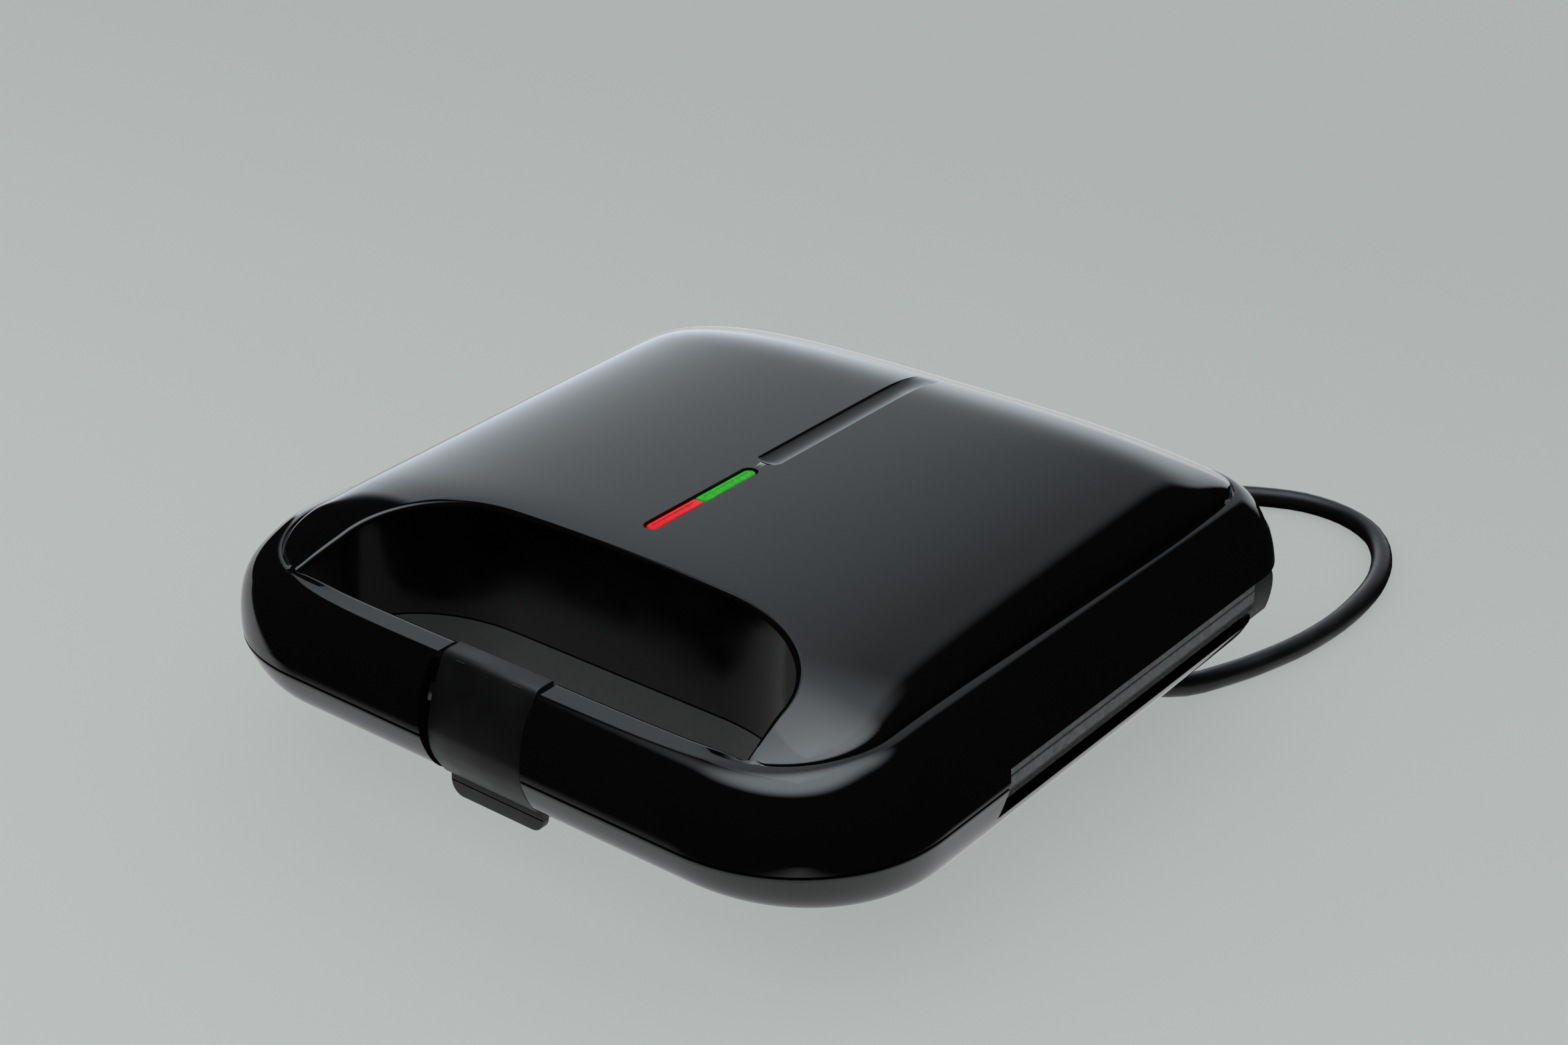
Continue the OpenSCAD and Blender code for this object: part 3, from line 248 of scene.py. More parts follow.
run = [
    (84, 194, -33.5), (92, 211, -38.2), (98.4, 229, CORD_Z), (103, 243, CORD_Z), (107, 260, CORD_Z),
    (109, 279, CORD_Z), (108.6, 298, CORD_Z), (106, 316, CORD_Z), (100, 333, CORD_Z), (90, 347, CORD_Z),
    (76, 355, CORD_Z), (60, 356, CORD_Z), (45, 350, CORD_Z), (32, 342, CORD_Z),
]
coil_last = np.array(coil_point(COIL_END))
bends = np.radians(range(8, TAIL_TURN + 1, 8))
tail = [coil_last + TAIL_R * np.array((-math.sin(a), math.cos(a) - 1, 0)) for a in bends]
plugward = np.array((-math.cos(math.radians(TAIL_TURN)), -math.sin(math.radians(TAIL_TURN)), 0))
tail += [tail[-1] + step * plugward for step in (5, 10)]
straight_out = [outlet_point(d) for d in (0, 15, RELIEF_LEN, RELIEF_LEN + 4)]
coil = [coil_point(a) for a in np.arange(0, COIL_END + 1, 15)]
cord_path = spline(straight_out + run + coil + tail, 3)
# Flexible PVC: soft sheen, faint lengthwise drag marks, a little dust
cord_pvc = plastic("cord_pvc", "#050506", "#0b0b0c", (0.34, 0.46), 0.8, 0.02, patch_mm=12, ior=1.4)

mains_cord = tube("mains_cord_lead", cord_path, CORD_D / 2)
mains_cord.data.materials.append(cord_pvc)
smooth(mains_cord, 60)
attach(mains_cord, "base")
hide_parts("mains_cord", "cord_coil")

inner_lead = tube("inner_lead", [outlet_point(d) for d in (-32, -20, -8, -0.05)], CORD_D / 2)
inner_lead.data.materials.append(cord_pvc)
smooth(inner_lead, 60)
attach(inner_lead, "base")


def dress(name, finish, bevel_mm):
    """Gives a CAD node its material, and rounds its edges a little."""
    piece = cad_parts[name]
    piece.data.materials.clear()
    piece.data.materials.append(finish)
    if bevel_mm:
        welded = piece.modifiers.new("weld", "WELD")
        welded.merge_threshold = 0.00001
        rounded = piece.modifiers.new("rounded", "BEVEL")
        rounded.width = bevel_mm / 1000
        rounded.segments = 2
        rounded.limit_method = "ANGLE"
        rounded.angle_limit = math.radians(30)


# Moulded rubber of the plug and the strain relief, duller than the lead
plug_rubber = plastic("plug_rubber", "#121213", "#1b1b1c", (0.5, 0.62), 0.5, 0.03, patch_mm=9)
dress("strain_relief", plug_rubber, 0.3)
dress("plug", plug_rubber, 1.2)


def metal(name, dark, pale, rough, scratch_mm, depth_mm, stretch=(1, 1, 1)):
    """Bare metal: shade and roughness vary along fine stretched marks."""
    made = noded(name)
    place = node(made, "ShaderNodeTexCoord").outputs["Object"]
    turned = node(made, "ShaderNodeMapping", [("Vector", place)], Scale=stretch)
    marks = node(made, "ShaderNodeTexNoise", [("Vector", turned.outputs[0])],
                 Scale=1000 / scratch_mm, Detail=4.0)
    shade = node(made, "ShaderNodeMix", [("Factor", marks.outputs["Fac"])],
                 data_type="RGBA", A=linear(dark), B=linear(pale))
    sheen = node(made, "ShaderNodeMapRange", [("Value", marks.outputs["Fac"])],
                 To_Min=rough[0], To_Max=rough[1], **NOISE_SPREAD)
    bump = node(made, "ShaderNodeBump", [("Height", marks.outputs["Fac"])],
                Strength=1.0, Distance=depth_mm / 1000)
    surface = node(made, "ShaderNodeBsdfPrincipled", [
        ("Base Color", result(shade)), ("Normal", bump.outputs[0]), ("Roughness", sheen.outputs[0]),
    ], Metallic=1.0)
    node(made, "ShaderNodeOutputMaterial", [("Surface", surface.outputs[0])])
    return made


# Nickel-plated brass pins, turned and bright
plug_pin_nickel = metal("plug_pin_nickel", "#b9b2a0", "#d8d2c2", (0.18, 0.3), 0.6, 0.004, (0.1, 1, 1))
dress("plug_pins", plug_pin_nickel, 0.6)


# ---------------------------------------------------------------- floor and light
# A plain pale grey sweep under soft, even studio light. In gloss the studio shows as it is built
# up in the picture: a bright wall behind, a box overhead, black cards on the left and the right.
FLOOR_NEAR, FLOOR_BEHIND, FLOOR_FAR = 0.62, 0.8, 1.3    # brightness of the floor in gloss
DARK = 0.006                # brightness of what is black in gloss
GLOW, WALL_GLOW = 1.4, 0.73             # brightness of the wall's foot over the wall, and of the wall
WALL_RIGHT = 0.55           # share of the wall's brightness on its right
BOX_GLOW = 4.0
LEFT_CARD = (-59.5, -58)                # headings clockwise from behind, in degrees, where the cards begin
RIGHT_CARD = (10, -2)
CARD_LEAN = 12              # degrees by which the right card reaches further in above the wall's foot
SHADOW_FILL = 0.75          # share of the floor, as the camera sees it, that takes no shadow
SKY = 0.75                  # strength of the even light from all round


def eased_steps(finish, *steps):
    """Product of eased steps, each over a source from start to end, between a low and a high level."""
    product = None
    for source, start, end, low, high in steps:
        step = result(node(finish, "ShaderNodeMapRange", [("Value", source)], interpolation_type="SMOOTHSTEP",
                           From_Min=start, From_Max=end, To_Min=low, To_Max=high))
        if product is None:
            product = step
        else:
            product = result(node(finish, "ShaderNodeMath", [(0, product), (1, step)], operation="MULTIPLY"))
    return product


def sweep_material():
    """Matte grey paper; in gloss it shows lit close to the toaster and behind it, and black elsewhere."""
    made = noded("paper_sweep")
    paper = node(made, "ShaderNodeBsdfPrincipled",
                 Base_Color=linear("#b9bebc"), Roughness=0.9, Specular_IOR_Level=0.1)
    place = node(made, "ShaderNodeTexCoord").outputs["Object"]
    spot = node(made, "ShaderNodeSeparateXYZ", [("Vector", place)]).outputs
    x, y = spot["X"], spot["Y"]
    front, side = float(seat((0, 0, 0))[1]), HALF_BODY / 1000
    near = eased_steps(made, (y, front - 0.05, front - 0.03, 0, 1), (x, side + 0.04, side + 0.015, 0, 1),
                       (y, 0.2, 0.15, 0, FLOOR_NEAR))
    behind = eased_steps(made, (y, 0.048, 0.066, 0, 1), (x, 0.035, 0.012, 0, 1),
                         (y, 0.25, 1.0, FLOOR_BEHIND, FLOOR_FAR))
    brighter = node(made, "ShaderNodeMath", [(0, near), (1, behind)], operation="MAXIMUM")
    lit = node(made, "ShaderNodeMath", [(0, result(brighter)), (1, DARK)], operation="ADD")
    shown = node(made, "ShaderNodeEmission", [("Strength", result(lit))], Color=(0.97, 0.99, 1, 1))
    ray = node(made, "ShaderNodeLightPath").outputs
    # For the camera most of the floor is a flat painted glow, lighter near and darker further back, which
    # lightens the object's shadow.
    tone = node(made, "ShaderNodeMix", [("Factor", eased_steps(made, (y, -0.35, 0.6, 0, 1)))],
                data_type="RGBA", A=linear("#bdc2c0"), B=linear("#aeb3b1"))
    flat = node(made, "ShaderNodeEmission", [("Color", result(tone))], Strength=1.0)
    filled = node(made, "ShaderNodeMath", [(0, ray["Is Camera Ray"]), (1, SHADOW_FILL)], operation="MULTIPLY")
    seen = node(made, "ShaderNodeMixShader", [(0, result(filled)), (1, result(paper)), (2, result(flat))])
    surface = node(made, "ShaderNodeMixShader", [
        (0, ray["Is Glossy Ray"]), (1, result(seen)), (2, result(shown)),
    ])
    node(made, "ShaderNodeOutputMaterial", [("Surface", result(surface))])
    return made


bpy.ops.mesh.primitive_circle_add(vertices=96, radius=4, fill_type="NGON", location=(0, 0, 0))
floor = bpy.context.object
floor.name = "floor"
floor.data.materials.append(sweep_material())

world = bpy.data.worlds.new("studio")
bpy.context.scene.world = world
world.use_nodes = True
world.node_tree.nodes.clear()
around = node(world, "ShaderNodeTexCoord").outputs["Generated"]
toward = node(world, "ShaderNodeSeparateXYZ", [("Vector", around)]).outputs
heading = result(node(world, "ShaderNodeMath", [(0, toward["X"]), (1, toward["Y"])], operation="ARCTAN2"))
height = result(node(world, "ShaderNodeMath", [(0, toward["Z"])], operation="ARCSINE"))
left_card, right_card = np.radians(LEFT_CARD).tolist(), np.radians(RIGHT_CARD).tolist()
lean = eased_steps(world, (height, math.radians(12), math.radians(30), 0, math.radians(CARD_LEAN)))
leant = result(node(world, "ShaderNodeMath", [(0, heading), (1, lean)], operation="ADD"))
wall = eased_steps(world, (heading, *left_card, 0, 1), (leant, *right_card, 0, 1),
                   (heading, math.radians(-20), math.radians(-45), WALL_RIGHT, 1))
foot = eased_steps(world, (height, math.radians(30), math.radians(5), WALL_GLOW, WALL_GLOW + GLOW))
box = eased_steps(world, (toward["Z"], math.cos(math.radians(38)), math.cos(math.radians(6)), DARK, BOX_GLOW))
studio = node(world, "ShaderNodeMath", [(0, wall), (1, foot), (2, box)], operation="MULTIPLY_ADD")
gloss_sky = node(world, "ShaderNodeBackground", [("Strength", result(studio))], Color=(0.86, 0.94, 1, 1))
soft_sky = node(world, "ShaderNodeBackground", Color=(0.98, 1, 1, 1), Strength=SKY)
glossy = node(world, "ShaderNodeLightPath").outputs["Is Glossy Ray"]
sky = node(world, "ShaderNodeMixShader", [(0, glossy), (1, result(soft_sky)), (2, result(gloss_sky))])
node(world, "ShaderNodeOutputWorld", [("Surface", result(sky))])


def softbox(name, place, aim, size, watts):
    """Large lamp for soft shading only: it isn't seen in the gloss."""
    bpy.ops.object.light_add(type="AREA")
    lamp = bpy.context.object
    lamp.name = name
    lamp.data.shape = "RECTANGLE"
    lamp.data.size, lamp.data.size_y = size
    lamp.data.energy = watts
    lamp.location = place
    lamp.rotation_euler = (Vector(place) - Vector(aim)).to_track_quat("Z", "Y").to_euler()
    lamp.visible_glossy = False


softbox("rear_left_box", (-2.2, 1.6, 2.2), (0, 0, 0), (2.4, 2.0), 4)
softbox("front_box", (0.6, -2.4, 2.6), (0, 0, 0), (3.2, 3.2), 40)
bpy.context.scene.view_settings.view_transform = "Standard"


# ---------------------------------------------------------------- lid shell
# One glossy black ABS moulding: a rounded rim, a fine styling groove, the crowned panel and the
# upper half of the handle round the D-shaped hand opening. Injection moulded, polished tool.
HALF_W = HALF_BODY
LID_H = 42                  # crown over the parting plane
WALL, SIDE_WALL = 2.4, 3
GAP = 0.3                   # half of the gap between lid and base
FRONT_R, REAR_R = 47, 26    # corners of the outline
OUTLINE_POWER = 2.1         # its front corners are superellipses of this power
RIM_SIDE, RIM_FRONT, RIM_REAR = 14.2, 12.4, 8.5         # from the outline in to the groove
RIM_H, RIM_DIP = 25, 2.7    # height of the groove, and its drop towards the front
GROOVE_X, GROOVE_Y0, GROOVE_Y1 = HALF_W - RIM_SIDE, RIM_FRONT, BODY_D - RIM_REAR
GROOVE_FR, GROOVE_RR = FRONT_R - 16.8, REAR_R - 7.5
GROOVE_W = 1.1
CROWN_Y, CROWN_SLOPE = 188, 0.028       # y of the panel's top, and its fall from there to the front
SLOPE_END = 62              # y up to which the front of the panel slopes
OPENING_HALF, BAR_D, OPENING_END = 77, 15, 56.3
OPENING_RX, OPENING_RY, OPENING_POWER = 39, 27, 2.1
LIP_R, BAR_LIP_R = 1.3, 0.5             # rounding of the opening's lip, and less of it along the handle
BAR_CREST = 0.66            # share of the rim's run at which the handle's flat top begins
FRONT_LINE = 25             # y up to which a ring's points belong to its front
HOLLOW_Y0 = 58.9            # front of the room inside lid and base
EASE = 4.0                  # millimetres over which the lid's slopes run into each other


def eased(v, k=EASE):
    """max(0, v) with its corner rounded over k."""
    return np.where(v > 8 * k, v, k * np.log1p(np.exp(np.minimum(v, 8 * k) / k)))


def groove_z(y):
    """Height of the groove's edge at y."""
    return RIM_H - RIM_DIP * (np.maximum(0, SLOPE_END - y) / (SLOPE_END - RIM_FRONT)) ** 2


def groove_half(y):
    """Half of the panel's width at y."""
    front = np.sqrt(np.clip(1 - ((GROOVE_Y0 + GROOVE_FR - y) / GROOVE_FR) ** 2, 0, 1))
    rear = np.sqrt(np.clip(1 - ((y - GROOVE_Y1 + GROOVE_RR) / GROOVE_RR) ** 2, 0, 1))
    front, rear = GROOVE_X - GROOVE_FR + GROOVE_FR * front, GROOVE_X - GROOVE_RR + GROOVE_RR * rear
    return np.where(y < GROOVE_Y0 + GROOVE_FR, front, np.where(y > GROOVE_Y1 - GROOVE_RR, rear, GROOVE_X))


def panel_z(x, y):
    """Height of the crowned panel over the parting plane."""
    x, y = np.asarray(x, float), np.asarray(y, float)
    spine = LID_H - CROWN_SLOPE * eased(CROWN_Y - y, 8)
    front = 1 - np.clip(eased(SLOPE_END - y) / (SLOPE_END - GROOVE_Y0), 0, 1) ** 1.5
    n = 1.6 - 0.6 * np.clip(np.abs(x) / GROOVE_X, 0, 1) ** 3
    rear = 1 - np.clip(eased(y - CROWN_Y) / (GROOVE_Y1 - CROWN_Y), 0, 1) ** n
    m = 2.1 + 0.015 * (y - OPENING_END)
    side = 1 - np.clip(np.abs(x) / np.maximum(1, groove_half(y)), 0, 1) ** m
    base = groove_z(y)
    return base + (spine - base) * front ** (1 / 1.5) * rear ** (1 / n) * side ** (1 / m)


def rim_rise(u, y):
    """Share of the rim's height at share u of its run in from the outline."""
    w = np.clip((y - 6) / 26, 0, 1)
    n = 2.7 - 0.8 * w * w * (3 - 2 * w)
    return (1 - (1 - u) ** n) ** (1 / n)


# Points of a half outline: front line, front corner, side, rear corner, rear line
COUNTS = (44, 40, 60, 26, 30)
TIP = COUNTS[0] + 8         # the point that is matched to the front corner of the opening


def half_outline(x, y0, y1, f, r, n):
    """Right half of a rounded outline: front corners of radius f and power n, rear corners of radius r."""
    made = []
    for part, count in enumerate(COUNTS):
        t = np.arange(count) / count
        a = t * math.pi / 2
        if part == 0:
            made.append(np.stack([t * (x - f), 0 * t + y0], 1))
        elif part == 1:
            made.append(np.stack([x - f + f * np.sin(a) ** (2 / n), y0 + f - f * np.cos(a) ** (2 / n)], 1))
        elif part == 2:
            made.append(np.stack([0 * t + x, y0 + f + t * (y1 - r - y0 - f)], 1))
        elif part == 3:
            made.append(np.stack([x - r + r * np.cos(a), y1 - r + r * np.sin(a)], 1))
        else:
            made.append(np.stack([(1 - t) * (x - r), 0 * t + y1], 1))
    return np.concatenate(made + [[[0, y1]]])


def both_sides(half):
    """The whole ring from its right half, counter-clockwise from the front middle."""
    left = half[-2:0:-1] * np.array([-1, 1] + [1] * (half.shape[1] - 2))
    return np.concatenate([half, left])


def half_opening(grow):
    """The hand opening's right half, matched point for point to the outline's half."""
    cx, cy = OPENING_HALF - 2 - OPENING_RX, OPENING_END - OPENING_RY
    a = np.linspace(0, math.pi / 2, 200)
    bow = np.stack([
        cx + (OPENING_RX + grow) * np.cos(a) ** (2 / OPENING_POWER),
        cy + (OPENING_RY + grow) * np.sin(a) ** (2 / OPENING_POWER),
    ], 1)
    curve = np.concatenate([[[OPENING_HALF + grow, BAR_D - grow]], bow, [[0, OPENING_END + grow]]])
    run_along = np.concatenate([[0], np.cumsum(np.linalg.norm(np.diff(curve, axis=0), axis=1))])
    run_along /= run_along[-1]
    marks = np.cumsum([0] + list(COUNTS))
    share = np.interp(np.arange(TIP, marks[-1] + 1), [TIP, *marks[2:]], [0, 0.36, 0.74, 0.84, 1])
    rest = np.stack([np.interp(share, run_along, curve[:, k]) for k in (0, 1)], 1)
    front_x = np.linspace(0, OPENING_HALF + grow, TIP, endpoint=False)
    front = np.stack([front_x, np.full(TIP, BAR_D - grow)], 1)
    return np.concatenate([front, rest])


def lid_rings():
    """Rings of the lid from its bottom edge over rim, groove, panel and lip down into the opening."""
    rings = []
    outline = half_outline(HALF_W, 0, BODY_D, FRONT_R, REAR_R, OUTLINE_POWER)
    groove = half_outline(GROOVE_X, GROOVE_Y0, GROOVE_Y1, GROOVE_FR, GROOVE_RR, 2)
    crest = BAR_CREST + (1 - BAR_CREST) * np.clip(groove[:, 0] / 79, 0, 1) ** 6
    crest[groove[:, 1] > FRONT_LINE] = 1

    def rim(u):
        """Ring at share u of the way from the outline in to the groove."""
        share = (u * crest)[:, None]
        plan = outline * (1 - share) + groove * share
        z = GAP + (groove_z(plan[:, 1]) - GAP) * rim_rise(u * crest, plan[:, 1])
        return np.column_stack([plan, z])

    inwards = np.array([0, BODY_D / 2]) - outline
    inwards /= np.linalg.norm(inwards, axis=1)[:, None]
    for inset, lift in ((0.55, 0.0), (0.16, 0.16)):
        rings.append(np.column_stack([outline + inwards * inset, np.full(len(outline), GAP + lift)]))
    for k in range(0, 27):
        rings.append(rim(max(0.0016, (k / 26) ** 2.2)))

    # groove: in past its outer edge, down to the floor and up to the panel; it fades at the opening's tips
    depth = np.clip((groove[:, 0] - 80) / 2.5, 0, 1)
    depth[groove[:, 1] > FRONT_LINE] = 1
    lip = half_opening(LIP_R)
    top = rings[-1]
    along = np.gradient(top[:, :2], axis=0)
    inward = np.column_stack([-along[:, 1], along[:, 0]]) / np.linalg.norm(along, axis=1)[:, None]
    facet = np.clip((OPENING_HALF - lip[:, 0]) / 16, 0, 1)
    facet[TIP:] = 0
    facet = facet * facet * (3 - 2 * facet)

    def over(plan):
        """Panel over most of the plan, the flat strip on top of the handle in front of the opening."""
        level_z = top[:, 2] + 0.15 * np.clip((plan[:, 1] - top[:, 1]) / 6, 0, 1)
        return facet * level_z + (1 - facet) * panel_z(plan[:, 0], plan[:, 1])

    for run_in, sink in ((0.25, 0.8), (0.65, 0.95), (1.05, 0.6)):
        plan = top[:, :2] + inward * run_in
        z = top[:, 2] * depth + over(plan) * (1 - depth) - sink * depth
        rings.append(np.column_stack([plan, z]))
    start = top[:, :2] + inward * GROOVE_W
    reach = np.linalg.norm(lip - start, axis=1)
    for k in range(0, 58):
        t = (k / 57) ** 2.4
        plan = start + (lip - start) * t
        # near the groove the panel's height is read further out, so that it rises from the inner edge
        held = plan - inward * (GROOVE_W * depth * np.exp(-reach * t / 3))[:, None]
        rings.append(np.column_stack([plan, over(held)]))
    lip_top = rings[-1][:, 2]
    lip_r = LIP_R - (LIP_R - BAR_LIP_R) * facet
    inner = half_opening(0)
    for step in range(1, 7):
        a = step / 6 * math.pi / 2
        plan = inner + (lip - inner) * (1 - np.sin(a))
        rings.append(np.column_stack([plan, lip_top - lip_r * (1 - np.cos(a))]))
    wall_top = rings[-1][:, 2]
    for step in range(1, 9):
        rings.append(np.column_stack([inner, wall_top + (GAP - wall_top) * step / 8]))
    return [both_sides(r) for r in rings]


def cut(piece, tool):
    """Takes a tool's form out of a piece, and removes the tool."""
    only(piece)
    made = piece.modifiers.new("cut", "BOOLEAN")
    made.operation = "DIFFERENCE"
    made.solver = "EXACT"
    made.object = tool
    bpy.ops.object.modifier_apply(modifier=made.name)
    bpy.data.objects.remove(tool)


def block(low, high):
    """Box between two corners in working millimetres, added as a cube and set to its size."""
    bpy.ops.object.select_all(action="DESELECT")
    bpy.ops.mesh.primitive_cube_add(size=1, location=(seat(low) + seat(high)) / 2)
    made = bpy.context.object
    made.scale = [(b - a) / 1000 for a, b in zip(low, high)]
    bpy.ops.object.transform_apply(location=True, rotation=True, scale=True)
    return made


def prism(name, outline, low, high):
    """Outline of (x, y) points drawn up from one height to another."""
    return skin(name, [[(x, y, low) for x, y in outline], [(x, y, high) for x, y in outline]])


LATCH_W, LATCH_GAP = 32.4, 1.5
NOTCH = LATCH_W / 2 + LATCH_GAP
RECESS_Y, RECESS_UP, RECESS_DOWN = 75, 5.4, 10.4
HINGE_Y, HINGE_Z = 220.6, -5.8
EAR_R, EAR_X, EAR_T = 9.2, 108, 8
LUG_T, LUG_R = 9, 8
LUG_X = EAR_X - EAR_T - LUG_T - 0.6
CASING_Y1 = HINGE_Y - 9.6
SLOT_Y, SLOT_LEN, SLOT_W = 69.4, 46.6, 5.4
TROUGH_LEN = 82

lid_shell = skin("lid_shell", lid_rings(), closed=True)


def lid_hollow():
    """Room inside the lid for casing, plate and heater."""
    mouth = both_sides(half_outline(HALF_W - SIDE_WALL, HOLLOW_Y0, BODY_D - SIDE_WALL, 9, 22, 2))
    rings = [[(x, y, -5) for x, y in mouth]]
    for inset, roof in ((0, 5), (3, 4.2), (8, 3.8), (13.5, 2.4), (16, 3.4), (28, 3.2), (50, 3.2)):
        x, y1 = HALF_W - SIDE_WALL - inset, BODY_D - SIDE_WALL - inset
        plan = both_sides(half_outline(x, HOLLOW_Y0 + inset * 0.4, y1, 9, max(3, 22 - inset * 0.5), 2))
        edge = np.minimum(HALF_W - np.abs(plan[:, 0]), BODY_D - plan[:, 1])
        under_rim = groove_z(plan[:, 1]) * rim_rise(np.clip(edge / 12, 0, 1), plan[:, 1])
        under_panel = panel_z(plan[:, 0], plan[:, 1])
        z = np.where(edge < 17, under_rim, under_panel) - roof
        rings.append(np.column_stack([plan, np.maximum(2, z)]))
    return skin("lid_hollow", rings)


cut(lid_shell, lid_hollow())
for low, high in (
    ((-NOTCH, -20, -5), (NOTCH, BAR_D + 1, 40)),
    ((-HALF_W - 9, RECESS_Y, -5), (12 - HALF_W, BODY_D + 9, RECESS_UP)),
    ((HALF_W - 12, RECESS_Y, -5), (HALF_W + 9, BODY_D + 9, RECESS_UP)),
    ((-HALF_W - 9, CASING_Y1, -5), (6 - LUG_X, BODY_D + 9, RECESS_UP)),
    ((LUG_X - 6, CASING_Y1, -5), (HALF_W + 9, BODY_D + 9, RECESS_UP)),
):
    cut(lid_shell, block(low, high))


def capsule(half_wide, y0, y1, steps=12):
    """Outline of a slot with round ends."""
    a = [math.pi * k / steps for k in range(steps + 1)]
    rear = [(half_wide * math.cos(t), y1 - half_wide + half_wide * math.sin(t)) for t in a]
    return rear + [(-half_wide * math.cos(t), y0 + half_wide - half_wide * math.sin(t)) for t in a]


cut(lid_shell, prism("slot_tool", capsule(SLOT_W / 2, SLOT_Y, SLOT_Y + SLOT_LEN), 15, 60))


def trough_tool():
    """Shallow trough behind the slot: it slopes in from the left and ends in a crisp right edge."""
    section = [(-4.2, -0.3), (-4.0, 0.3), (-3.4, 0.62), (-2.5, 0.86), (-1.4, 1.03), (-0.4, 1.1),
               (3.4, 1.1), (3.8, 0.92), (4.0, 0.5), (4.05, -6), (-4.2, -6)]
    rings = []
    for along in np.linspace(0, TROUGH_LEN, 60):
        y = SLOT_Y + SLOT_LEN + 4 + along
        front, rear, widening = (math.sin(math.pi / 2 * min(1, run / ease)) for run, ease in (
            (along, 4), (TROUGH_LEN - along, 14), (along, 3)))
        deep, wide = min(1, front ** 0.5, rear), 0.35 + 0.65 * widening
        ring = [(x * wide, d * deep if d > 0 else d) for x, d in section]
        rings.append([(x, y, float(panel_z(x, y)) - d) for x, d in ring])
    return skin("trough_tool", rings)


cut(lid_shell, trough_tool())

# Gloss black ABS from a polished tool: near-mirror skin, faint wide waviness, almost no grain.
# The walls of the opening, off a plainer tool, are duller; they are also drawn darker and show less of the
# studio, as painted shade inside the opening.
abs_gloss = plastic("abs_gloss_black", "#040405", "#070708", (0.04, 0.07), 18, 0.012, patch_mm=60)
abs_shaded_wall = plastic("abs_shaded_wall_black", "#010101", "#030303", (0.14, 0.24), 6, 0.02, patch_mm=14, ior=1.2)


def line_opening(shell, outside, inside):
    """Gives the walls of the hand opening their own finish."""
    shell.data.materials.append(outside)
    shell.data.materials.append(inside)
    for face in shell.data.polygons:
        x, y = face.center.x * 1000, face.center.y * 1000 + BODY_D / 2
        upright = abs(face.normal.z) < 0.3 and math.hypot(face.normal.x, face.normal.y) > 0.9
        if upright and abs(x) < OPENING_HALF + 0.4 and BAR_D - 0.4 < y < OPENING_END + 0.4:
            face.material_index = 1


line_opening(lid_shell, abs_gloss, abs_shaded_wall)
smooth(lid_shell, 30)
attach(lid_shell, "lid")
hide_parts("upper_housing")


# ---------------------------------------------------------------- base shell
# The lower black moulding: rounded sides that turn in under the toaster to a flat tub, the lower
# half of the handle with the catch for the latch, and a bay underneath for the cord's outlet.
BELLY_RUN, BELLY_H = 30, 27             # how far, and over what depth, the sides curve in
BAR_ROUND = 15              # rounding of the handle underneath
BAR_STEP = 5                # depth over which handle turns into tub
FOOT_H = 6
TUB_FLOOR = BASE_H - FOOT_H
TUB_FRONT = OPENING_END + 5
TUB_R = 12
CORNER_KEEP = 0.6           # share of its run by which the front corner tightens
BASE_END = HINGE_Y + 1.4
BASE_REAR_R = 14
CATCH_FRONT, CATCH_DROP = 8.2, 10.3
BAY_HALF, BAY_H = 8, 6.6
UNDERCUT = 0.325            # slope with which the sides turn in right below the parting line


def undercut(z, full, fade_power):
    """How far the side turns in at depth z; it fades out towards the full depth."""
    return UNDERCUT * z * (1 - z / full) ** fade_power if z < full else 0.0


def base_plan(z, inset=0.0):
    """Half outline of the base at depth z under the parting plane."""
    if z < BELLY_H:
        belly = BELLY_RUN * (1 - math.sqrt(1 - (z / BELLY_H) ** 2))
    else:
        belly = BELLY_RUN + 3 * (z - BELLY_H) / (TUB_FLOOR - BELLY_H)
    if z <= BAR_ROUND:
        bar = BAR_ROUND * (1 - math.sqrt(1 - (z / BAR_ROUND) ** 2))
    else:
        bar = min(TUB_FRONT, BAR_ROUND + (TUB_FRONT - BAR_ROUND) * (z - BAR_ROUND) / BAR_STEP)
    belly += undercut(z, BELLY_H, 2.5)
    bar += undercut(z, BAR_ROUND, 1.2)
    if z < BAR_ROUND:
        corner = FRONT_R - CORNER_KEEP * bar
    else:
        bar_corner = FRONT_R - CORNER_KEEP * BAR_ROUND
        corner = bar_corner + (TUB_R - bar_corner) * min(1, (z - BAR_ROUND) / BAR_STEP)
    return half_outline(HALF_W - belly - inset, bar + inset, BASE_END - 0.2 * belly - inset,
                        corner - inset, BASE_REAR_R - inset, OUTLINE_POWER)


def base_rings():
    """Rings of the base from its top edge down to the tub's floor."""
    depths = [BAR_ROUND * math.sin(math.radians(a)) for a in range(3, 91, 3)]
    depths += [15.6, 16.4, 17.4, 18.6, 19.6, 20.2]
    depths += [BELLY_H * math.sin(math.radians(a)) for a in range(51, 91, 3)] + [29, 32, 35, TUB_FLOOR - 0.8]
    edge, foot = [(GAP, 0.4), (GAP + 0.12, 0.1)], [(TUB_FLOOR - 0.2, 0.25), (TUB_FLOOR, 0.8)]
    made = []
    for z, inset in edge + [(z, 0.0) for z in depths] + foot:
        plan = both_sides(base_plan(z, inset))
        made.append(np.column_stack([plan, np.full(len(plan), -z)]))
    return made


def beside_outlet(name, x0, x1, y0, y1, z0, z1):
    """Box in the cord outlet's own directions: y along the cord, z from its axis."""
    c, s = math.cos(OUTLET_TURN), math.sin(OUTLET_TURN)
    corners = ((x0, y0), (x1, y0), (x1, y1), (x0, y1))
    placed = [(OUTLET[0] + x * c + y * s, OUTLET[1] - x * s + y * c) for x, y in corners]
    return prism(name, placed, OUTLET[2] + z0, OUTLET[2] + z1)


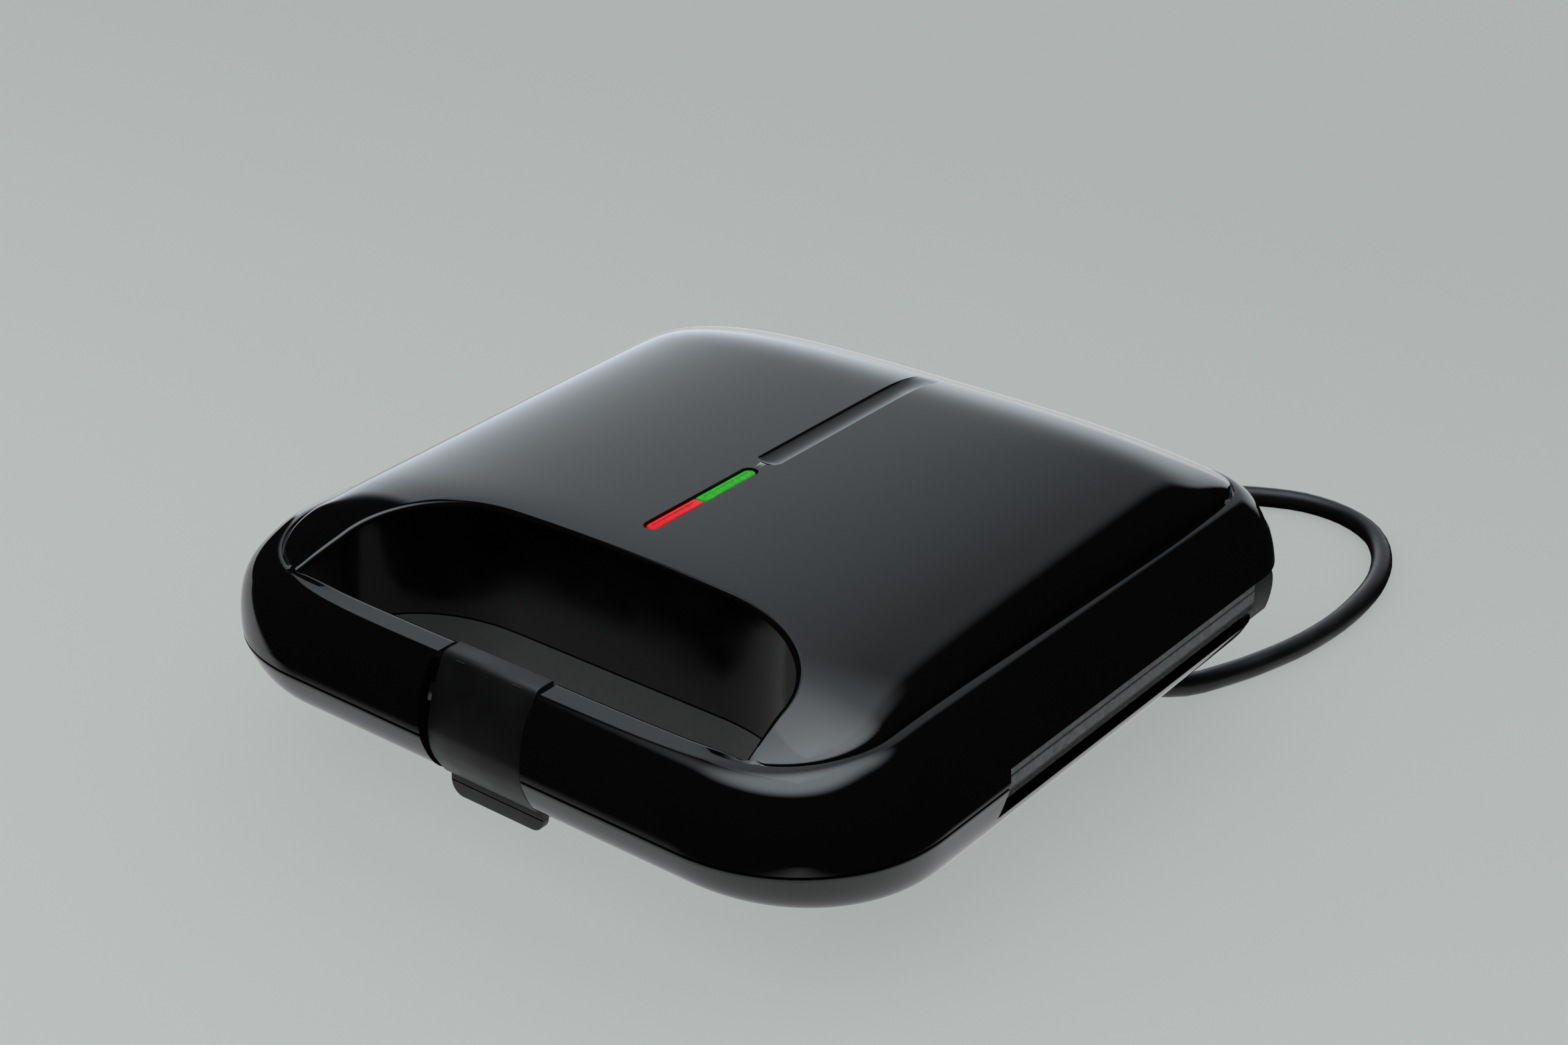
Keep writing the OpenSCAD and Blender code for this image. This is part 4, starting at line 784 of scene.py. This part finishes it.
def base_hollow():
    """Room inside the base for casing, plate, heater and wiring."""
    rings = []
    walls = [(-5, 2.6), (0, 2.6), (4, 2.7), (8, 2.8), (12, 3), (16, 3.2), (20, 3.6), (24, 4), (26.9, 4.2)]
    for z, inset in walls + [(TUB_FLOOR - WALL, 3)]:
        x, y1 = base_plan(max(0, z), inset).max(axis=0)
        y0 = HOLLOW_Y0 if z < BAR_ROUND + BAR_STEP else TUB_FRONT + WALL
        full = both_sides(half_outline(x, y0, y1, 8, 11, 2))
        rings.append(np.column_stack([full, np.full(len(full), -z)]))
    return skin("base_hollow", rings)


base_shell = skin("base_shell", base_rings())
hollow = base_hollow()
cut(hollow, beside_outlet("bay_wall", -BAY_HALF - WALL, BAY_HALF + WALL, -WALL, 120, -30, BAY_H + WALL))
cut(base_shell, hollow)
cut(base_shell, beside_outlet("bay", -BAY_HALF, BAY_HALF, 0, 120, -30, BAY_H))
cut(base_shell, prism("hand_opening", [tuple(p) for p in both_sides(half_opening(0))], -60, 5))
for low, high in (
    ((-NOTCH, -20, -60), (NOTCH, CATCH_FRONT, 5)),
    ((-NOTCH, -20, -60), (NOTCH, BAR_D + 1, -CATCH_DROP)),
    ((-HALF_W - 9, RECESS_Y, -RECESS_DOWN), (12 - HALF_W, BODY_D + 9, 5)),
    ((HALF_W - 12, RECESS_Y, -RECESS_DOWN), (HALF_W + 9, BODY_D + 9, 5)),
    ((LUG_X - 0.4, HINGE_Y - LUG_R - 0.6, HINGE_Z - LUG_R - 0.6), (EAR_X - EAR_T, BODY_D + 9, 5)),
    ((EAR_T - EAR_X, HINGE_Y - LUG_R - 0.6, HINGE_Z - LUG_R - 0.6), (0.4 - LUG_X, BODY_D + 9, 5)),
):
    cut(base_shell, block(low, high))
# hole for the strain relief, then the seats of the four feet
holes = [(40, 4.55, 8, outlet_point(-1.2), (math.pi / 2, 0, -OUTLET_TURN))]
feet = [(x, y, -TUB_FLOOR - 1) for x in (-70, 70) for y in (TUB_FRONT + 6.3, CASING_Y1 - 4.2)]
holes += [(32, 3.2, 4.4, foot, (0, 0, 0)) for foot in feet]
for sides, radius, depth, centre, turn in holes:
    bpy.ops.object.select_all(action="DESELECT")
    bpy.ops.mesh.primitive_cylinder_add(vertices=sides, radius=radius / 1000, depth=depth / 1000,
                                        location=seat(centre), rotation=turn)
    bpy.ops.object.transform_apply(location=True, rotation=True, scale=True)
    cut(base_shell, bpy.context.object)
# Spark-eroded ABS: black, evenly dull, with a grain of a few tenths of a millimetre
abs_matte = plastic("abs_matte_black", "#161617", "#262728", (0.42, 0.52), 0.35, 0.03, patch_mm=1.5)
line_opening(base_shell, abs_gloss, abs_matte)
smooth(base_shell, 30)
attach(base_shell, "base")
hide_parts("lower_housing")


# ---------------------------------------------------------------- hinge
# Two rounded ears moulded on the base, spark-eroded matte on their flat faces, hold steel pins;
# the lid turns on the pins with two lugs that sit inside the ears.
def along_x(name, profile, x0, x1, round_mm, angle=40):
    """Profile of (y, z) points drawn out from x0 to x1, its edges rounded."""
    made = skin(name, [[(x0, y, z) for y, z in profile], [(x1, y, z) for y, z in profile]])
    round_edges(made, round_mm, angle)
    return made


def round_edges(piece, round_mm, angle):
    """Rounds every edge whose faces meet at more than the angle, in degrees."""
    only(piece)
    edges = piece.modifiers.new("edges", "BEVEL")
    edges.width = round_mm / 1000
    edges.segments = 3
    edges.limit_method = "ANGLE"
    edges.angle_limit = math.radians(angle)
    bpy.ops.object.modifier_apply(modifier=edges.name)


def joined(pieces, name):
    """Joins pieces into one object."""
    bpy.ops.object.select_all(action="DESELECT")
    for piece in pieces:
        piece.select_set(True)
    bpy.context.view_layer.objects.active = pieces[0]
    bpy.ops.object.join()
    bpy.context.object.name = name
    return bpy.context.object


def arc(cy, cz, r, a0, a1, steps):
    """Points of an arc in (y, z), from one angle to another in degrees."""
    angles = np.radians(np.linspace(a0, a1, steps))
    return [(cy + r * math.cos(a), cz + r * math.sin(a)) for a in angles]


ear_outline = arc(HINGE_Y, HINGE_Z, EAR_R, -52, 180, 48) + [(HINGE_Y - EAR_R, -13), (HINGE_Y - 4, -13)]
ear_spans = ((EAR_X - EAR_T, EAR_X), (-EAR_X, EAR_T - EAR_X))
ears = joined([along_x("ear", ear_outline, a, b, 0.6) for a, b in ear_spans], "hinge_ears")
ears.data.materials.append(abs_matte)
smooth(ears, 40)
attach(ears, "base")

lug_outline = arc(HINGE_Y, HINGE_Z, LUG_R, -180, 0, 36) + [(HINGE_Y + LUG_R, 10), (HINGE_Y - LUG_R, 14)]
lug_spans = ((LUG_X, LUG_X + LUG_T), (-LUG_X - LUG_T, -LUG_X))
lugs = joined([along_x("lug", lug_outline, a, b, 0.5) for a, b in lug_spans], "hinge_lugs")
lugs.data.materials.append(abs_matte)
smooth(lugs, 40)
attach(lugs, "lid")
pin_steel = metal("pin_steel", "#8f9296", "#b4b7ba", (0.22, 0.36), 0.5, 0.004, (0.1, 1, 1))
dress("hinge_pins", pin_steel, 0.3)


# ---------------------------------------------------------------- latch
# Strap latch moulded in matte black nylon: it hangs on a steel pin in the upper bar, wraps the
# front of the handle and hooks under a catch in the lower bar; a thin tab lets a finger pull it.
STRAP_TOP, STRAP_T = 22, 2.4
TAB_HALF, TAB_R, TAB_END = 16.2, 4, -20.8
RIB_X, RIB_T = 9.7, 3
strap_face = [(10.4, STRAP_TOP), (9.3, 21.8), (8.4, 21.2), (7.7, 20.2), (6.9, 18.6), (5.5, 15.6),
              (3.8, 11.4), (2.5, 7.2), (1.7, 3.6), (1.5, 1.2), (1.9, -2.7), (2.7, -5.4), (3.8, -7.8),
              (5.7, -10.8), (7.3, -13), (8.8, -13.8)]
strap_back = [(9.16, STRAP_TOP - STRAP_T), (7.9, 14.8), (6.2, 10.4), (4.9, 6.6), (4.2, 3.3), (3.9, 1),
              (4.4, -2.2), (5.1, -4.8), (6.1, -7.4), (7.3, -11.2)]
profile = [(BAR_D, STRAP_TOP)] + [tuple(p) for p in spline(strap_face, 4)] + [(11.8, -13.8), (11.8, -11.2)]
profile += [tuple(p) for p in spline(strap_back, 3)[::-1]] + [(BAR_D, STRAP_TOP - STRAP_T)]
strap = along_x("strap", profile, -LATCH_W / 2, LATCH_W / 2, 0.4, 30)
knuckle = along_x("knuckle", arc(10.6, 13.6, 3.2, 0, 352.5, 48), -LATCH_W / 2 + 0.2, LATCH_W / 2 - 0.2, 0.3)
rib_outline = [(6, 12), (10.6, 12.6), (11.6, 14.6), (12, 21), (8, 21)]
ribs = [
    skin("rib", [[(x + side, y, z) for y, z in rib_outline] for side in (-RIB_T / 2, RIB_T / 2)])
    for x in (-RIB_X, RIB_X)
]
tab_outline = [(TAB_HALF, -12.2), (TAB_HALF, -17)]
for a in np.linspace(0, math.pi / 2, 10):
    tab_outline.append((TAB_HALF - TAB_R + TAB_R * math.cos(a), TAB_END + TAB_R - TAB_R * math.sin(a)))
tab_outline += [(-x, z) for x, z in reversed(tab_outline)]
tab = skin("tab", [[(x, y, z) for x, z in tab_outline] for y in (9.4, 11.6)])
round_edges(tab, 0.5, 50)
latch = joined([strap, knuckle, tab] + ribs, "strap_latch")
# Nylon off a sand-blasted tool: soft grey-black sheen with a fine even grain
nylon_matte = plastic("nylon_matte_black", "#070708", "#0c0c0d", (0.42, 0.52), 0.3, 0.014, patch_mm=10)
latch.data.materials.append(nylon_matte)
smooth(latch, 30)
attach(latch, "latch")
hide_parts("latch")
dress("latch_pin", pin_steel, 0.2)


# ---------------------------------------------------------------- indicator lenses
# Two bars of clear-coloured acrylic in one slot, red in front for power and green behind for
# ready, lit from below by neon lamps in a white holder; a thin rib runs along each.
SLOT_MID = SLOT_Y + SLOT_LEN * 0.48     # where the red lens ends
LENS_GAP = 0.75             # from the slot's wall to the lens
HOLDER_TOP = float(panel_z(0, SLOT_Y + SLOT_LEN / 2)) - 5


def acrylic(name, deep, bright, glow):
    """Coloured acrylic over a lamp: clear gloss skin, a faintly uneven glow painted on in place of the lamp's
    light, fine moulded lines.
    """
    made = noded(name)
    place = node(made, "ShaderNodeTexCoord").outputs["Object"]
    lines = node(made, "ShaderNodeTexNoise", [("Vector", place)], Scale=1000 / 1.2, Detail=1.0)
    shade = node(made, "ShaderNodeMix", [("Factor", lines.outputs["Fac"])],
                 data_type="RGBA", A=linear(deep), B=linear(bright))
    bump = node(made, "ShaderNodeBump", [("Height", lines.outputs["Fac"])], Strength=1.0, Distance=0.00003)
    surface = node(made, "ShaderNodeBsdfPrincipled", [
        ("Base Color", result(shade)), ("Emission Color", result(shade)), ("Normal", bump.outputs[0]),
    ], Roughness=0.45, IOR=1.25, Emission_Strength=glow)
    node(made, "ShaderNodeOutputMaterial", [("Surface", surface.outputs[0])])
    return made


def lens_bar(name, y0, y1, finish, cad_node):
    """Lens from y0 to y1, its top a little under the panel, with a thin rib along it."""
    whole = capsule(SLOT_W / 2 - LENS_GAP, SLOT_Y + LENS_GAP, SLOT_Y + SLOT_LEN - LENS_GAP, 16)
    rings = []
    for inset, drop in ((0, None), (0, 0.75), (0.1, 0.5), (0.3, 0.36), (0.6, 0.3)):
        ring = []
        for x, y in whole:
            y = min(max(y, y0), y1)
            x = math.copysign(max(0.02, abs(x) - inset), x)
            y += inset * (1 if y < (y0 + y1) / 2 else -1)
            ring.append((x, y, HOLDER_TOP - 0.4 if drop is None else float(panel_z(0, y)) - drop))
        rings.append(ring)
    bar = skin(name, rings)
    turns = np.linspace(0, 2 * math.pi, 10, endpoint=False)
    rib = skin(name + "_rib", [
        [(-0.55 + 0.22 * math.cos(a), y, float(panel_z(0, y)) - 0.32 + 0.2 * math.sin(a)) for a in turns]
        for y in np.linspace(y0 + 2.2, y1 - 2.2, 16)
    ])
    made = joined([bar, rib], name)
    made.data.materials.append(finish)
    smooth(made, 40)
    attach(made, "lid")
    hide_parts(cad_node)


# the lenses' glow is painted light that stands in for the neon lamps under them
acrylic_red = acrylic("acrylic_red", "#a8040c", "#e40c16", 0.2)
acrylic_green = acrylic("acrylic_green", "#0a7c10", "#30ba24", 0.12)
lens_bar("red_lens_bar", SLOT_Y + LENS_GAP, SLOT_MID - 0.1, acrylic_red, "red_lens")
lens_bar("green_lens_bar", SLOT_MID + 0.5, SLOT_Y + SLOT_LEN - LENS_GAP, acrylic_green,
         "green_lens")

# Neon lamps in a white heat-proof holder under the lenses
polyamide_white = plastic("polyamide_white", "#c9c8c0", "#d8d7d0", (0.45, 0.6), 0.6, 0.02, patch_mm=8)
lamp_glass = noded("lamp_glass")
place = node(lamp_glass, "ShaderNodeTexCoord").outputs["Object"]
waves = node(lamp_glass, "ShaderNodeTexNoise", [("Vector", place)], Scale=1000 / 2.5, Detail=2.0)
sheen = node(lamp_glass, "ShaderNodeMapRange", [("Value", waves.outputs["Fac"])],
             To_Min=0.04, To_Max=0.12, **NOISE_SPREAD)
glass = node(lamp_glass, "ShaderNodeBsdfPrincipled", [("Roughness", sheen.outputs[0])],
             Base_Color=linear("#f0b070"), Transmission_Weight=0.7, IOR=1.5)
node(lamp_glass, "ShaderNodeOutputMaterial", [("Surface", glass.outputs[0])])
dress("lamp_holder", polyamide_white, 0.2)
dress("neon_lamps", lamp_glass, 0.4)


# ---------------------------------------------------------------- casings
# The satin frames that carry the plates, seen as two pale bands in the recess along each side;
# glass-filled polyester, moulded with a coarse dull texture.
SPECKLE = ("#020202", "#808386", (0.42, 0.58), 0.5, 0.05)      # shades, roughness, grain and depth in mm
SPECKLE_MM = 1.3            # size of the speckle's patches, drawn coarser than real so that they show
# Painted shade: the lower casing's colour darkens between these heights, where it is tucked in under the rim.
SKIRT_TOP, SKIRT_SHADED = -3.0, -4.4      # heights over which the skirt under the rim darkens


def paint_skirt_shade(finish):
    """Paints shade into the speckled finish, darkening it where the skirt is tucked in under the rim."""
    surface = next(n for n in finish.node_tree.nodes if n.type == "BSDF_PRINCIPLED")
    speckled = surface.inputs["Base Color"].links[0].from_socket
    place = node(finish, "ShaderNodeTexCoord").outputs["Object"]
    z = node(finish, "ShaderNodeSeparateXYZ", [("Vector", place)]).outputs["Z"]
    low, high = (float(seat((0, 0, height_mm))[2]) for height_mm in (SKIRT_SHADED, SKIRT_TOP))
    pale = eased_steps(finish, (z, low, high, 0, 1))
    shade = node(finish, "ShaderNodeMix", [("Factor", pale), ("B", speckled)],
                 data_type="RGBA", A=linear("#09090a"))
    finish.node_tree.links.new(result(shade), surface.inputs["Base Color"])
    return finish


dress("upper_casing", plastic("polyester_textured", *SPECKLE, patch_mm=SPECKLE_MM), 0.4)
# the lower casing carries painted shade where it sits under the rim
dress("lower_casing", paint_skirt_shade(plastic("polyester_shaded_skirt", *SPECKLE, patch_mm=SPECKLE_MM)), 0.4)


# ---------------------------------------------------------------- cooking plates, heaters, reflectors
# Die-cast aluminium plates with a black non-stick coat, steel-sheathed heaters pressed into
# grooves on their backs, and tinned sheet trays that throw the heat back.
nonstick = plastic("nonstick_coat", "#131314", "#1c1c1d", (0.3, 0.42), 0.7, 0.02, patch_mm=16, coat=0.1)
heater_sheath = metal("heater_sheath", "#4a443f", "#6b645d", (0.4, 0.55), 0.7, 0.01)
tinplate = metal("tinplate", "#a7abad", "#c4c7c9", (0.2, 0.34), 2.5, 0.006, (1, 0.2, 1))
for half in ("upper", "lower"):
    dress(f"{half}_cooking_plate", nonstick, 0.5)
    dress(f"{half}_heater", heater_sheath, 0.0)
    dress(f"{half}_reflector", tinplate, 0.2)
    dress(f"{half}_plate_screws", pin_steel, 0.2)


# ---------------------------------------------------------------- small parts
# Screws, thermostat and thermal fuse, terminal block, cord clamp, braided leads and rubber feet,
# bought in and screwed or pushed into place.
dress("lid_screws", pin_steel, 0.2)
dress("base_screws", pin_steel, 0.2)
dress("thermostat", metal("thermostat_brass", "#8c6f3c", "#ad8d55", (0.25, 0.4), 1.0, 0.006), 0.3)
dress("thermal_fuse", pin_steel, 0.1)
dress("terminal_block", polyamide_white, 0.4)
dress("cord_clamp", polyamide_white, 0.4)
dress("rubber_feet", plastic("foot_rubber", "#141414", "#1d1d1d", (0.7, 0.85), 0.6, 0.05, patch_mm=6), 0.6)


def braid(name, dark, pale, pitch_mm):
    """Braided glass sleeve: two crossing sets of fine bands."""
    made = noded(name)
    place = node(made, "ShaderNodeTexCoord").outputs["Object"]
    turned = node(made, "ShaderNodeMapping", [("Vector", place)], Rotation=(0, 0, math.pi / 2)).outputs[0]
    one, two = (node(made, "ShaderNodeTexWave", [("Vector", way)], bands_direction="DIAGONAL",
                     Scale=1000 / pitch_mm / 6, Distortion=0.5).outputs["Fac"] for way in (place, turned))
    weave = node(made, "ShaderNodeMath", [(0, one), (1, two)], operation="MULTIPLY")
    shade = node(made, "ShaderNodeMix", [("Factor", weave.outputs[0])],
                 data_type="RGBA", A=linear(dark), B=linear(pale))
    bump = node(made, "ShaderNodeBump", [("Height", weave.outputs[0])], Strength=1.0, Distance=0.0001)
    surface = node(made, "ShaderNodeBsdfPrincipled", [
        ("Base Color", result(shade)), ("Normal", bump.outputs[0]),
    ], Roughness=0.8)
    node(made, "ShaderNodeOutputMaterial", [("Surface", surface.outputs[0])])
    return made


glass_sleeve = braid("glass_sleeve", "#6e241d", "#a04a3e", 0.9)
dress("base_wiring", glass_sleeve, 0.0)
dress("lid_wiring", glass_sleeve, 0.0)
